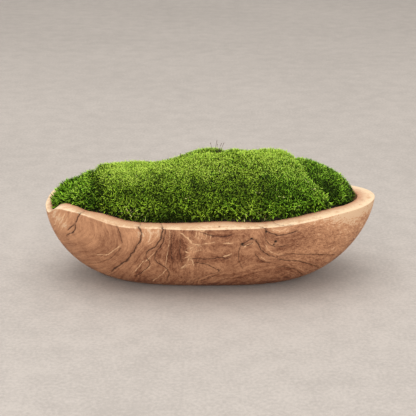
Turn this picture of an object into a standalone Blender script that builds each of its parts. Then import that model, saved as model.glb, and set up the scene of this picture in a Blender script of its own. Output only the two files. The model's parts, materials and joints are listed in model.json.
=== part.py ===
"""Moss bowl garden: a hand-carved, boat-shaped wood bowl, packed with a dry bed and heaped with moss.

The bowl's length runs along X, its front faces -Y, and it stands on the ground at Z = 0.
Angles go round the outline from the right tip: 90 is the back, 180 the left tip, 270 the front.
"""
import math
import random

import bmesh
import bpy
import numpy as np
from mathutils.geometry import delaunay_2d_cdt

# Bowl
LENGTH = 0.400
WIDTH = 0.186
RIM_HEIGHT = 0.0915       # at the middle of the long sides
TIP_RISE = 0.008          # how much higher the rim is at the tips
TIP_SET_BACK = 0.0065     # the long axis curves back towards the tips
RIM_POWER = 1.96          # shape of the outline: 2 is an ellipse, more is squarer
FOOT_POWER = 2.57
FOOT_SHARE_RIGHT = 0.465  # the foot's reach, as a share of the rim's
FOOT_SHARE_LEFT = 0.545
FOOT_SHARE_SIDE = 0.40
FLANK_CURVE = 1.60        # how the flank swells from the foot to the rim
FLANK_SWELL = 1.80
WALL_RIGHT = 0.0205
WALL_LEFT = 0.0070
WALL_SIDE = 0.0215
FLOOR_THICKNESS = 0.016
HOLLOW_POWER_RIGHT = 1.95
HOLLOW_POWER_LEFT = 1.80
HOLLOW_SHARE_LONG = 0.50  # the hollow's floor, as a share of its mouth
HOLLOW_SHARE_SIDE = 0.35
EDGE_WEAR = 0.0008        # rounding of the rim's two edges
# Waves of the live edge: angle, spread, height
RIM_WAVES = (
    (150, 14.0, 0.0032),
    (179, 11.5, -0.0095),
    (193.5, 8.5, -0.0120),
    (219, 9.0, 0.0022),
    (239.5, 9.0, -0.0033),
    (276, 12.0, 0.0010),
    (319, 14.0, 0.0022),
)
# How much higher the rim's inner edge is than its outer one: angle, spread, height
LIP_WAVES = (
    (204.5, 8.0, 0.0032),
    (220, 5.0, -0.0022),
    (249, 9.0, -0.0012),
    (272, 9.0, 0.0016),
    (291, 8.0, -0.0012),
)
ROUND_STEPS = 72
OUTER_LEVELS = 10
OUTER_LEVEL_POWER = 1.5   # more than 1 sets the levels closer together near the foot
HOLLOW_LEVELS = (0.0, 0.03, 0.12, 0.26, 0.44, 0.66, 0.88)

# Bed and moss
BED_LEVELS = (0.0, 0.12, 0.44)
BED_CLEARANCE = 0.00035
BED_CREST_SHARE = 0.74    # how high the bed's mound is beside the moss's
BED_FADE = 0.35           # how far the bed sinks near its edge, as a share of its mound
BED_FADE_FROM = 0.6       # where that starts, as a share of the way out
MOSS_INSET = 0.0013       # from the bed's edge to the moss's
MOSS_REACH = 0.0001       # how far past its own edge the mound's curve runs out
MOSS_CLEARANCE = 0.0003
SEAM_HALF_GAP = 0.00025
EDGE_DROP = 0.004         # the moss starts this far below the rim
MOUND_POWER = 2.2
MOUND_SWELL = 0.55
CREST = 0.061
CREST_STEP = 0.0075       # the mound steps up in its middle
CREST_STEP_X = (-0.045, -0.005)
CREST_SAG = 0.006         # and sags left of that step
CREST_SAG_X = -0.070
CREST_SAG_SPREAD = 0.035
CREST_END_RISE = 0.007    # the middle cushions stay high up to their right end
CREST_END_X = (0.030, 0.100)
SHOULDER_RISE = 0.009     # and have a full shoulder at their left end
SHOULDER_X = (-0.108, -0.138)
RIGHT_SWELL = 0.0025      # the right cushion is fuller round this place
RIGHT_SWELL_X = 0.140
RIGHT_SWELL_SPREAD = 0.022
LEFT_DROP = 0.007         # the left cushion is this much lower, away from its seam
LEFT_DROP_X = (-0.138, -0.160)
BED_DROP = 0.006          # the bed's mound starts from a crest this much lower
STRETCH = 0.46            # the mound's slope, as a stretch of its plan
STRETCH_POWER = 7
STRETCH_END = 1.2         # it is tabled out to this share of the way, in so many steps
STRETCH_STEPS = 2400
TINY = 1e-9               # keeps a division by the share of the way out from zero

# Seams between the cushions, as places seen from above; a None is worked out on the moss's edge
LEFT_SEAM = ((-0.124, None), (-0.134, -0.024), (-0.139, 0.012), (-0.133, None))
RIGHT_SEAM = ((0.156, None), (0.138, -0.032), (0.115, -0.024), (0.102, 0.002), (0.094, 0.028),
              (0.086, None))
LONG_SEAM = ((-0.139, 0.012), (-0.102, 0.031), (-0.055, 0.019), (-0.020, 0.006), (0.028, 0.006),
             (0.062, 0.028), (0.094, 0.028))
REAR_SEAM = ((0.028, 0.006), (0.017, 0.028), (0.022, None))
# How far from each of those seams a cushion starts to roll down, and how deep it goes
SEAM_ROLLS = ((0.009, 0.003), (0.012, 0.010), (0.014, 0.009), (0.010, 0.003))

# Tufts
TUFT_PITCH = 0.0080
TUFT_HEIGHT = 0.0065
TUFT_SPREAD = 0.30        # random part of a tuft's height
TUFT_JITTER = 0.27        # random part of a tuft's place
TUFT_REACH = 0.8          # a tip goes no further towards a seam than this share of the way
RIM_ROOM = 0.0008         # and below the rim it goes this much past the moss's edge
EDGE_PITCH = 0.0075       # between the points of a cushion's outline
EDGE_CLEAR = 0.5          # tufts start this share of their pitch away from the outline
BED_PITCH = 0.0170
SLOPE_STEP = 0.001        # over which a surface's slope is measured
LEAST_LEAN = 0.05         # what a tuft's lean counts as at least, when its room is worked out
CURVE_STEPS = 20          # fine points between two points of a smooth line
EDGE_STEPS = 200          # and along a stretch of the moss's edge
SAME_SPOT = 1e-8          # points closer than this are one when a surface is split into triangles
SEED = 7


def clear_scene():
    """Removes every object of the scene."""
    for old in list(bpy.data.objects):
        bpy.data.objects.remove(old, do_unlink=True)


def make_material(name, colour, roughness):
    """A plain Principled material."""
    material = bpy.data.materials.new(name)
    material.use_nodes = True
    shader = material.node_tree.nodes["Principled BSDF"]
    shader.inputs["Base Color"].default_value = (*colour, 1)
    shader.inputs["Roughness"].default_value = roughness
    shader.inputs["Metallic"].default_value = 0
    return material


def add_object(name, bm, material, sharp_degrees=35):
    """Puts a finished bmesh into the scene as one named object."""
    bmesh.ops.recalc_face_normals(bm, faces=bm.faces)
    mesh = bpy.data.meshes.new(name)
    bm.to_mesh(mesh)
    bm.free()
    mesh.materials.append(material)
    mesh.shade_smooth()
    mesh.set_sharp_from_angle(angle=math.radians(sharp_degrees))
    piece = bpy.data.objects.new(name, mesh)
    bpy.context.collection.objects.link(piece)
    return piece


def smoothstep(low, high, value):
    """0 below low, 1 above high, and a smooth step between them."""
    t = np.clip((value - low) / (high - low), 0, 1)
    return t * t * (3 - 2 * t)


def set_back(x):
    """How far back the curved long axis lies at x."""
    return TIP_SET_BACK * np.abs(x / (LENGTH / 2)) ** 3


def outline_point(angle, reach_x, reach_y, power):
    """Point of a rounded outline at an angle in radians, round the curved long axis."""
    c, s = math.cos(angle), math.sin(angle)
    x = math.copysign(reach_x * abs(c) ** (2 / power), c)
    y = math.copysign(reach_y * abs(s) ** (2 / power), s)
    return x, y + set_back(x)


def waves_at(angle, waves):
    """Sum of some waves at an angle in radians."""
    height = 0.0
    for place, spread, wave in waves:
        away = (np.degrees(angle) - place + 180) % 360 - 180
        height = height + wave * np.exp(-((away / spread) ** 2))
    return height


def rim_height(angle):
    """Height of the rim's outer edge at an angle in radians."""
    return RIM_HEIGHT + TIP_RISE * np.cos(angle) ** 2 + waves_at(angle, RIM_WAVES)


def lip_height(angle):
    """Height of the rim's inner edge at an angle in radians."""
    return rim_height(angle) + waves_at(angle, LIP_WAVES)


def swell(level):
    """Share of the way out from foot to rim that a flank has gone at a level from 0 to 1."""
    return (1 - (1 - level) ** FLANK_CURVE) ** (1 / FLANK_SWELL)


def round_angles():
    """The angles of every ring of the bowl and the bed."""
    return [2 * math.pi * i / ROUND_STEPS for i in range(ROUND_STEPS)]


def outer_ring(level, inset=0.0, drop=0.0):
    """Ring of points round the bowl's outside, at a level from 0 at the foot to 1 at the rim."""
    power = FOOT_POWER + (RIM_POWER - FOOT_POWER) * level
    side = FOOT_SHARE_SIDE + (1 - FOOT_SHARE_SIDE) * swell(level)
    ring = []
    for angle in round_angles():
        foot = FOOT_SHARE_RIGHT if math.cos(angle) > 0 else FOOT_SHARE_LEFT
        reach_x = (foot + (1 - foot) * swell(level)) * LENGTH / 2 - inset
        x, y = outline_point(angle, reach_x, side * WIDTH / 2 - inset, power)
        ring.append((x, y, rim_height(angle) * level - drop))
    return ring


def hollow_power(x):
    """Shape of the hollow's outline, which is more pointed on the left."""
    return np.where(x > 0, HOLLOW_POWER_RIGHT, HOLLOW_POWER_LEFT)


def hollow_reach(level):
    """The hollow's reach to the right, to the left and to the sides at a level from 0 to 1."""
    long = HOLLOW_SHARE_LONG + (1 - HOLLOW_SHARE_LONG) * swell(level)
    side = HOLLOW_SHARE_SIDE + (1 - HOLLOW_SHARE_SIDE) * swell(level)
    right = (LENGTH / 2 - WALL_RIGHT) * long
    left = (LENGTH / 2 - WALL_LEFT) * long
    return right, left, (WIDTH / 2 - WALL_SIDE) * side


def hollow_ring(level, inset=0.0, lift=0.0):
    """Ring of points round the hollow, at a level from 0 at its floor to 1 at its mouth."""
    right, left, side = hollow_reach(level)
    ring = []
    for angle in round_angles():
        reach_x = right if math.cos(angle) > 0 else left
        power = float(hollow_power(math.cos(angle)))
        x, y = outline_point(angle, reach_x - inset, side - inset, power)
        height = FLOOR_THICKNESS + (lip_height(angle) - FLOOR_THICKNESS) * level
        ring.append((x, y, height + lift))
    return ring


def add_rings(bm, rings):
    """Adds rings of points and the quads between them, and returns the rings' vertices."""
    made = [[bm.verts.new(point) for point in ring] for ring in rings]
    for low, high in zip(made, made[1:]):
        for i in range(len(low)):
            j = (i + 1) % len(low)
            bm.faces.new((low[i], low[j], high[j], high[i]))
    return made


def make_bowl(material):
    """The carved bowl: foot, flank, rim face and hollow in one closed surface."""
    bm = bmesh.new()
    rings = [outer_ring((i / OUTER_LEVELS) ** OUTER_LEVEL_POWER) for i in range(OUTER_LEVELS)]
    rings.append(outer_ring(1, drop=EDGE_WEAR))
    rings.append(outer_ring(1, inset=EDGE_WEAR))
    rings.append(hollow_ring(1, inset=-EDGE_WEAR))
    rings.append(hollow_ring(1, lift=-EDGE_WEAR))
    rings += [hollow_ring(level) for level in reversed(HOLLOW_LEVELS)]
    made = add_rings(bm, rings)
    bm.faces.new(made[0])
    bm.faces.new(made[-1])
    return add_object("wood_bowl", bm, material)


def moss_reach(extra=0.0):
    """Reach of the moss's edge to the right, to the left and to the sides."""
    right, left, side = hollow_reach(HOLLOW_LEVELS[-1])
    grow = extra - BED_CLEARANCE - MOSS_INSET
    return right + grow, left + grow, side + grow


def across(x, y, extra=0.0):
    """Where a place lies between the middle, 0, and the moss's edge, 1, and its angle."""
    right, left, side = moss_reach(extra)
    power = hollow_power(x)
    long = np.abs(x / np.where(x > 0, right, left)) ** power
    wide = np.abs((y - set_back(x)) / side) ** power
    angle = np.arctan2(np.sqrt(wide) * np.sign(y - set_back(x)), np.sqrt(long) * np.sign(x))
    return (long + wide) ** (1 / power), angle


def edge_place(x, front):
    """The point of the moss's edge at x, on the front or the back."""
    right, left, side = moss_reach()
    power = float(hollow_power(x))
    share = abs(x / (right if x > 0 else left)) ** power
    y = side * (1 - share) ** (1 / power)
    return x, (-y if front else y) + float(set_back(x))


def smooth_line(points, pitch):
    """Points about a pitch apart on a smooth line through the given ones."""
    marks = np.array(points)
    ends = np.vstack([2 * marks[0] - marks[1], marks, 2 * marks[-1] - marks[-2]])
    fine = []
    for before, a, b, after in zip(ends, ends[1:], ends[2:], ends[3:]):
        for t in np.linspace(0, 1, CURVE_STEPS, endpoint=False):
            bend = 2 * a + (b - before) * t + (2 * before - 5 * a + 4 * b - after) * t**2
            fine.append((bend + (3 * a - before - 3 * b + after) * t**3) / 2)
    return even_line(np.array(fine + [marks[-1]]), pitch)


def even_line(points, pitch):
    """The same line with its points about a pitch apart, ends kept."""
    walked = np.concatenate([[0], np.cumsum(np.linalg.norm(np.diff(points, axis=0), axis=1))])
    count = max(2, round(walked[-1] / pitch) + 1)
    wanted = np.linspace(0, walked[-1], count)
    return np.stack([np.interp(wanted, walked, points[:, k]) for k in range(2)], axis=1)


def edge_line(start, end):
    """The moss's edge from one of its points round to another, by rising angle."""
    first, last = (float(across(np.float64(p[0]), np.float64(p[1]))[1]) for p in (start, end))
    if last <= first:
        last += 2 * math.pi
    right, left, side = moss_reach()
    points = []
    for angle in np.linspace(first, last, EDGE_STEPS):
        reach_x = right if math.cos(angle) > 0 else left
        points.append(outline_point(angle, reach_x, side, float(hollow_power(math.cos(angle)))))
    return even_line(np.array(points), EDGE_PITCH)


def seam_lines():
    """The seams as smooth lines, with their ends on the moss's edge."""
    left, right = ([edge_place(seam[0][0], True), *seam[1:-1], edge_place(seam[-1][0], False)]
                   for seam in (LEFT_SEAM, RIGHT_SEAM))
    rear = [*REAR_SEAM[:-1], edge_place(REAR_SEAM[-1][0], False)]
    return left, right, list(LONG_SEAM), rear


def split_line(points, at):
    """Cuts a line of points in two at one of them."""
    place = points.index(at)
    return points[: place + 1], points[place:]


def joined(*lines):
    """One closed outline out of lines that follow each other, each point once."""
    return np.vstack([line[:-1] for line in lines])


def cushion_outlines():
    """The outline of each cushion, seen from above, before the gap at its seams."""
    left, right, long, rear = seam_lines()
    left_front, left_back = split_line(left, long[0])
    right_front, right_back = split_line(right, long[-1])
    long_left, long_right = split_line(long, rear[0])

    def line(points):
        return smooth_line(points, EDGE_PITCH)

    lf, lb, rf, rb = line(left_front), line(left_back), line(right_front), line(right_back)
    ll, lr, rs = line(long_left), line(long_right), line(rear)
    return {
        "moss_left": joined(edge_line(left[-1], left[0]), lf, lb),
        "moss_front": joined(edge_line(left[0], right[0]), rf, lr[::-1], ll[::-1], lf[::-1]),
        "moss_right": joined(edge_line(right[0], right[-1]), rb[::-1], rf[::-1]),
        "moss_rear_right": joined(edge_line(right[-1], rear[-1]), rs[::-1], lr, rb),
        "moss_rear_left": joined(edge_line(rear[-1], left[-1]), lb[::-1], ll, rs),
    }


def closed(outline):
    """An outline with its first point again at its end."""
    return np.vstack([outline, outline[:1]])


def pulled_in(outline, gap):
    """An outline drawn in by a gap on every side."""
    before, after = np.roll(outline, 1, axis=0), np.roll(outline, -1, axis=0)
    back, on = outline - before, after - outline
    back /= np.linalg.norm(back, axis=1)[:, None]
    on /= np.linalg.norm(on, axis=1)[:, None]
    inward = np.stack([-back[:, 1] - on[:, 1], back[:, 0] + on[:, 0]], axis=1)
    half = 1 + (back * on).sum(axis=1)
    return outline + gap * inward / half[:, None]


def line_distance(x, y, line):
    """Distance from a place to a line of points."""
    place = np.array([x, y])
    start, step = line[:-1], np.diff(line, axis=0)
    t = ((place - start) * step).sum(axis=1) / (step**2).sum(axis=1)
    foot = start + np.clip(t, 0, 1)[:, None] * step
    return float(np.linalg.norm(place - foot, axis=1).min())


def crest_height(x, name):
    """Height of the mound's crest over the moss's edge at x, in one cushion."""
    step = CREST_STEP * smoothstep(*CREST_STEP_X, x)
    sag = CREST_SAG * np.exp(-(((x - CREST_SAG_X) / CREST_SAG_SPREAD) ** 2))
    crest = CREST + step - sag
    if name == "moss_left":
        return crest - LEFT_DROP * smoothstep(*LEFT_DROP_X, x)
    if name == "moss_right":
        return crest + RIGHT_SWELL * np.exp(-(((x - RIGHT_SWELL_X) / RIGHT_SWELL_SPREAD) ** 2))
    return crest + CREST_END_RISE * smoothstep(*CREST_END_X, x) + SHOULDER_RISE * smoothstep(*SHOULDER_X, x)


def rim_near(x, y):
    """Height of the rim as it is felt at a place inside it."""
    share, angle = across(x, y)
    return RIM_HEIGHT + (lip_height(angle) - RIM_HEIGHT) * np.minimum(share, 1) ** 2


def seam_roll(x, y, seams):
    """How far a cushion has rolled down at a place beside the seams."""
    deepest = 0.0
    for line, (reach, depth) in zip(seams, SEAM_ROLLS):
        near = max(0.0, 1 - line_distance(x, y, line) / reach)
        deepest = max(deepest, depth * (1 - math.sqrt(1 - near * near)))
    return deepest


def moss_top(x, y, name, seams):
    """Height of a cushion's surface at a place, without its tufts."""
    share, _ = across(x, y, MOSS_REACH)
    dome = (1 - np.minimum(share, 1) ** MOUND_POWER) ** MOUND_SWELL
    crest = crest_height(x, name) - seam_roll(x, y, seams)
    return float(rim_near(x, y) - EDGE_DROP + crest * dome)


def bed_top(x, y):
    """Height of the bed's surface at a place."""
    share, angle = across(x, y)
    level = HOLLOW_LEVELS[-1]
    edge = FLOOR_THICKNESS + (lip_height(angle) - FLOOR_THICKNESS) * level
    middle = FLOOR_THICKNESS + (RIM_HEIGHT - FLOOR_THICKNESS) * level
    inside = np.minimum(share, 1)
    dome = (1 - inside**MOUND_POWER) ** MOUND_SWELL
    fade = 1 - BED_FADE * smoothstep(BED_FADE_FROM, 1.0, share)
    crest = (crest_height(x, "moss_left") - BED_DROP) * BED_CREST_SHARE
    return float(middle + (edge - middle) * inside**2 + crest * dome * fade)


def stretched(x, y):
    """A place on the mound's surface, laid out flat so that slopes keep their length."""
    share, _ = across(x, y)
    grow = (share + STRETCH * share**STRETCH_POWER) / max(share, TINY)
    return x * grow, (y - float(set_back(x))) * grow


def unstretched(p, q):
    """The plan place of a point of the laid-out surface."""
    right, left, side = moss_reach()
    power = float(hollow_power(p))
    grown = ((abs(p) / (right if p > 0 else left)) ** power + (abs(q) / side) ** power) ** (1 / power)
    shares = np.linspace(0, STRETCH_END, STRETCH_STEPS)
    share = float(np.interp(grown, shares + STRETCH * shares**STRETCH_POWER, shares))
    shrink = share / max(grown, TINY)
    x = p * shrink
    return x, q * shrink + float(set_back(x))


def inside_outline(p, q, outline):
    """True where a point lies inside a closed outline."""
    px, py = outline[:, 0], outline[:, 1]
    nx, ny = np.roll(px, -1), np.roll(py, -1)
    crosses = (py > q) != (ny > q)
    with np.errstate(divide="ignore", invalid="ignore"):
        at = px + (q - py) * (nx - px) / (ny - py)
    return bool((crosses & (p < at)).sum() % 2)


def lattice(outline, pitch, draw):
    """Slightly uneven points a pitch apart, inside an outline and clear of its edge."""
    low, high = outline.min(axis=0), outline.max(axis=0)
    edge = closed(outline)
    points = []
    row = 0
    q = low[1]
    while q < high[1]:
        p = low[0] + (row % 2) * pitch / 2
        while p < high[0]:
            wide, deep = (draw.uniform(-TUFT_JITTER, TUFT_JITTER) * pitch for _ in range(2))
            spot = (p + wide, q + deep)
            p += pitch
            if inside_outline(*spot, outline) and line_distance(*spot, edge) > pitch * EDGE_CLEAR:
                points.append(spot)
        row += 1
        q += pitch * math.sqrt(3) / 2
    return points


def triangles(points, loops):
    """Splits closed loops of points into triangles, with each triangle's loops."""
    spots, _, faces, came_from, _, in_loops = delaunay_2d_cdt(points, [], loops, 0, SAME_SPOT, True)
    inside = [(face, held) for face, held in zip(faces, in_loops) if held]
    return [tuple(spot) for spot in spots], inside, came_from


class Ground:
    """The bed's surface in triangles, which the cushions' undersides follow."""

    def __init__(self, outlines, draw):
        ring = [tuple(stretched(x, y)) for x, y, _ in hollow_ring(HOLLOW_LEVELS[-1], BED_CLEARANCE)]
        points = list(ring)
        loops = [list(range(len(ring)))]
        for outline in outlines.values():
            loops.append(list(range(len(points), len(points) + len(outline))))
            points += [tuple(stretched(x, y)) for x, y in outline]
        points += lattice(np.array(ring), BED_PITCH, draw)
        spots, self.faces, came_from = triangles(points, loops)
        self.places = [unstretched(*spot) for spot in spots]
        self.heights = [bed_top(*place) for place in self.places]
        self.spot_of = {old: new for new, olds in enumerate(came_from) for old in olds}
        self.loops = dict(zip(["bed", *outlines], loops))

    def faces_of(self, name):
        """Triangles that lie inside one cushion's outline."""
        number = list(self.loops).index(name)
        return [face for face, loops in self.faces if number in loops]


def make_bed(ground, material):
    """The dry bed that fills the hollow and carries the moss."""
    bm = bmesh.new()
    rings = [hollow_ring(level, BED_CLEARANCE, MOSS_CLEARANCE) for level in BED_LEVELS]
    made = add_rings(bm, rings)
    bm.faces.new(made[0])
    top = [bm.verts.new((x, y, z)) for (x, y), z in zip(ground.places, ground.heights)]
    for face, _ in ground.faces:
        bm.faces.new([top[i] for i in face])
    edge = [top[ground.spot_of[i]] for i in ground.loops["bed"]]
    for i in range(len(edge)):
        j = (i + 1) % len(edge)
        bm.faces.new((made[-1][i], made[-1][j], edge[j], edge[i]))
    return add_object("inner_bed", bm, material)


def surface_way(x, y, name, seams):
    """Unit vector straight out of a cushion's surface at a place."""
    step = SLOPE_STEP
    fall_x = moss_top(x - step, y, name, seams) - moss_top(x + step, y, name, seams)
    fall_y = moss_top(x, y - step, name, seams) - moss_top(x, y + step, name, seams)
    way = np.array([fall_x, fall_y, 2 * step])
    return way / np.linalg.norm(way)


def tuft_room(place, sideways, seams):
    """How long a tuft may be before its tip meets another cushion or the bowl."""
    x, y, z = place
    nearest = min(line_distance(x, y, line) for line in seams)
    room = TUFT_REACH * nearest / sideways
    if z < rim_near(x, y) + EDGE_WEAR:
        right, left, side = moss_reach()
        share, _ = across(x, y)
        room = min(room, (RIM_ROOM + TUFT_REACH * side * max(0.0, 1 - share)) / sideways)
    return room


def tuft_tip(corners, name, seams, draw):
    """Tip of the tuft that stands on one triangle of a cushion."""
    middle = np.mean(corners, axis=0)
    way = surface_way(middle[0], middle[1], name, seams)
    spread = np.cross(corners[1] - corners[0], corners[2] - corners[0])
    size = min(1.0, math.sqrt(np.linalg.norm(spread)) / TUFT_PITCH)
    height = TUFT_HEIGHT * size * (1 + draw.uniform(-TUFT_SPREAD, TUFT_SPREAD))
    sideways = max(LEAST_LEAN, float(np.hypot(way[0], way[1])))
    return middle + way * min(height, tuft_room(middle, sideways, seams))


def add_tuft(bm, corners, name, seams, draw):
    """Raises a three-sided tuft from one triangle of a cushion."""
    spots = [np.array(corner.co) for corner in corners]
    tip = bm.verts.new(tuft_tip(spots, name, seams, draw))
    for i in range(3):
        bm.faces.new((corners[i], corners[(i + 1) % 3], tip))


def make_cushion(name, outline, seams, ground, material, draw):
    """One moss cushion: a tufted, domed top, a low wall and an underside that follows the bed."""
    bm = bmesh.new()
    flat = np.array([stretched(x, y) for x, y in outline])
    points = [tuple(spot) for spot in flat] + lattice(flat, TUFT_PITCH, draw)
    spots, faces, came_from = triangles(points, [list(range(len(flat)))])
    places = [unstretched(*spot) for spot in spots]
    top = [bm.verts.new((x, y, moss_top(x, y, name, seams))) for x, y in places]
    for face, _ in faces:
        add_tuft(bm, [top[i] for i in face], name, seams, draw)
    under = {}
    for face in ground.faces_of(name):
        for i in face:
            if i not in under:
                under[i] = bm.verts.new((*ground.places[i], ground.heights[i] + MOSS_CLEARANCE))
        bm.faces.new([under[i] for i in reversed(face)])
    spot_of = {old: new for new, olds in enumerate(came_from) for old in olds}
    high = [top[spot_of[i]] for i in range(len(flat))]
    low = [under[ground.spot_of[i]] for i in ground.loops[name]]
    for i in range(len(high)):
        j = (i + 1) % len(high)
        bm.faces.new((low[i], low[j], high[j], high[i]))
    return add_object(name, bm, material, sharp_degrees=60)


def main():
    clear_scene()
    draw = random.Random(SEED)
    make_bowl(make_material("carved_wood", (0.50, 0.29, 0.17), 0.60))
    outlines = {name: pulled_in(line, SEAM_HALF_GAP) for name, line in cushion_outlines().items()}
    seams = [smooth_line(points, EDGE_PITCH) for points in seam_lines()]
    ground = Ground(outlines, draw)
    make_bed(ground, make_material("dry_bed", (0.17, 0.13, 0.08), 0.95))
    for name, outline in outlines.items():
        colour = (0.13, 0.24, 0.03) if name in ("moss_left", "moss_right") else (0.20, 0.33, 0.05)
        make_cushion(name, outline, seams, ground, make_material(name, colour, 0.9), draw)


main()
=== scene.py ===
"""Moss bowl garden: the finished looks of a carved wood bowl heaped with preserved moss cushions.

The file is laid out as a Blender add-on and is run as a script. Lengths are in metres unless a name or a
comment says otherwise. The bowl's length runs along X, its front faces -Y and it stands on the ground at
Z = 0. Angles go round the outline from the right tip: 90 is the back, 180 the left tip, 270 the front.
"""
import json
import math
import random

import bmesh
import bpy
import numpy as np
from bpy.props import FloatProperty, FloatVectorProperty, IntProperty, PointerProperty
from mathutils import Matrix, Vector
from mathutils.bvhtree import BVHTree

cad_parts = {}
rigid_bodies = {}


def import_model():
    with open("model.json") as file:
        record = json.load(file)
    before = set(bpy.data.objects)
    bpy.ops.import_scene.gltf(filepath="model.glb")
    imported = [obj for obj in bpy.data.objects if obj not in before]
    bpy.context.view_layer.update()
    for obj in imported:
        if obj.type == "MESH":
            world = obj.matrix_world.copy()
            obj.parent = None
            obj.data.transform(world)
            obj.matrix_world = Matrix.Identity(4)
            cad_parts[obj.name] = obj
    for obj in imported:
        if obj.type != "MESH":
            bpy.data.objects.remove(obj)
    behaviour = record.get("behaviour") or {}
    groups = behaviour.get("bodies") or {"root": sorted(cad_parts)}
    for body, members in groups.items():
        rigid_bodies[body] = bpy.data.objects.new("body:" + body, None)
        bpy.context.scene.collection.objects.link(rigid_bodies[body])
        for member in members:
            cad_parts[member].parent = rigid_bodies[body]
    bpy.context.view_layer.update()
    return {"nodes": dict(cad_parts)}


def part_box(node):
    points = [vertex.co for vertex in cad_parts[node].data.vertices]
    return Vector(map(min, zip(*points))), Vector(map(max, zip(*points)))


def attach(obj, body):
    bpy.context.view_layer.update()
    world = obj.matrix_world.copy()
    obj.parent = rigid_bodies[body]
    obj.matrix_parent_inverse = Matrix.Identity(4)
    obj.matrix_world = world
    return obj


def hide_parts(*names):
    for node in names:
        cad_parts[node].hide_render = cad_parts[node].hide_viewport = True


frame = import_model()
BOWL_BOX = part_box("wood_bowl")

bl_info = {
    "name": "Moss Bowl Garden",
    "version": (1, 0, 0),
    "blender": (4, 5, 0),
    "location": "3D View > Sidebar > Moss Bowl",
    "description": "Carves and finishes a wood bowl and grows its moss cushions",
    "category": "Object",
}

SEED = 11
MM = 0.001

# The bowl's form, as in the part's source
TIP_RISE = 0.008
TIP_SET_BACK = 0.0065
RIM_POWER = 1.96
FOOT_POWER = 2.57
FOOT_SHARE_RIGHT = 0.465
FOOT_SHARE_LEFT = 0.545
FOOT_SHARE_SIDE = 0.40
FLANK_CURVE = 1.60
FLANK_SWELL = 1.80
WALL_RIGHT = 0.0205
WALL_LEFT = 0.0070
WALL_SIDE = 0.0215
FLOOR_THICKNESS = 0.016
HOLLOW_POWER_RIGHT = 1.95
HOLLOW_POWER_LEFT = 1.80
HOLLOW_SHARE_LONG = 0.50
HOLLOW_SHARE_SIDE = 0.35
EDGE_WEAR = 0.0008
# Waves of the live edge: angle, spread, height
RIM_WAVES = (
    (150, 14.0, 0.0032),
    (179, 11.5, -0.0095),
    (193.5, 8.5, -0.0120),
    (219, 9.0, 0.0022),
    (239.5, 9.0, -0.0033),
    (276, 12.0, 0.0010),
    (319, 14.0, 0.0022),
)
# How much higher the rim's inner edge is than its outer one: angle, spread, height
LIP_WAVES = (
    (204.5, 8.0, 0.0032),
    (220, 5.0, -0.0022),
    (249, 9.0, -0.0012),
    (272, 9.0, 0.0016),
    (291, 8.0, -0.0012),
)

# How the bowl's surface is divided
FRONT_SHARE = 1.6          # columns stand this much closer on the front than on the back
FACE_ROWS = 9              # across the rim's face
EDGE_ROWS = 3              # round each of its edges
HOLLOW_LEVELS = (0.995, 0.985, 0.97, 0.955, 0.94, 0.92, 0.90, 0.87, 0.82, 0.74, 0.62, 0.48, 0.34, 0.2,
                 0.09, 0.02, 0.0)
FOOT_SHARES = (0.02, 0.35, 0.7, 0.9, 0.97)
RAGGED = 0.0012            # how far the hollow's edge wanders in
RAGGED_WAVES = (9, 23, 41, 58, 87, 131)  # how many waves of each kind go all round

# Figure of the wood, drawn on the flank in millimetres: along the bowl, and up from the ground.
# Each growth line starts with how many millimetres it lies from the heart of the figure.
GROWTH_LINES = (
    (-16, ((-192, 74), (-179, 95))),
    (-6, ((-184, 68), (-176, 82), (-168, 96))),
    (8, ((-152, 98), (-157, 89), (-160, 80), (-168, 70), (-176, 62))),
    (22, ((-138, 94), (-136, 80), (-142, 68), (-156, 58), (-170, 50))),
    (40, ((-124, 93), (-119, 73), (-130, 56), (-157, 38))),
    (58, ((-107, 89), (-102, 71), (-103, 64), (-119, 42), (-145, 23))),
    (80, ((-81, 91), (-78, 80), (-82, 68), (-91, 54), (-98, 42), (-111, 28), (-122, 10))),
    (103, ((-54, 91), (-56, 81), (-59, 70), (-70, 62), (-76, 52), (-89, 31), (-97, 8))),
    (109, ((-50, 91), (-54, 71), (-64, 56), (-62, 46), (-53, 37), (-60, 25), (-69, 8))),
    (115, ((-46, 90), (-46, 71), (-50, 50), (-47, 34), (-47, 20), (-53, 8))),
    (123, ((-38, 90), (-37, 66), (-37, 44), (-36, 22))),
    (131, ((-29, 90), (-26, 76), (-20, 66), (-24, 52), (-27, 38), (-24, 24))),
    (135, ((44, 92), (49, 76), (55, 66), (64, 57), (80, 62), (110, 63), (145, 58), (165, 52))),
    (138, ((-14, 88), (10, 87), (30, 88))),
    (140, ((-8, 72), (14, 72), (32, 71))),
    (142, ((53, 60), (62, 52), (77, 49), (88, 55), (105, 53), (127, 47), (149, 40))),
    (143, ((-8, 55), (10, 52), (24, 57), (38, 60))),
    (147, ((-10, 43), (5, 41), (19, 36), (36, 42))),
    (150, ((-14, 16), (-4, 26), (16, 33), (38, 38), (60, 46), (84, 46), (98, 44), (112, 38), (127, 24))),
    (160, ((14, 14), (32, 24), (55, 31), (75, 35), (88, 36), (101, 29), (111, 12))),
    (171, ((44, 6), (60, 16), (78, 18), (92, 6))),
    (125, ((57, 92), (63, 80), (67, 72), (77, 67), (90, 71), (120, 76), (150, 74), (175, 68))),
    (116, ((64, 91), (69, 84), (77, 81), (88, 83), (106, 87), (140, 88), (170, 86), (190, 84))),
)
# The drawing goes on over the rim's face, which counts as this many millimetres upwards
RIM_SPAN = 20
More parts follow.
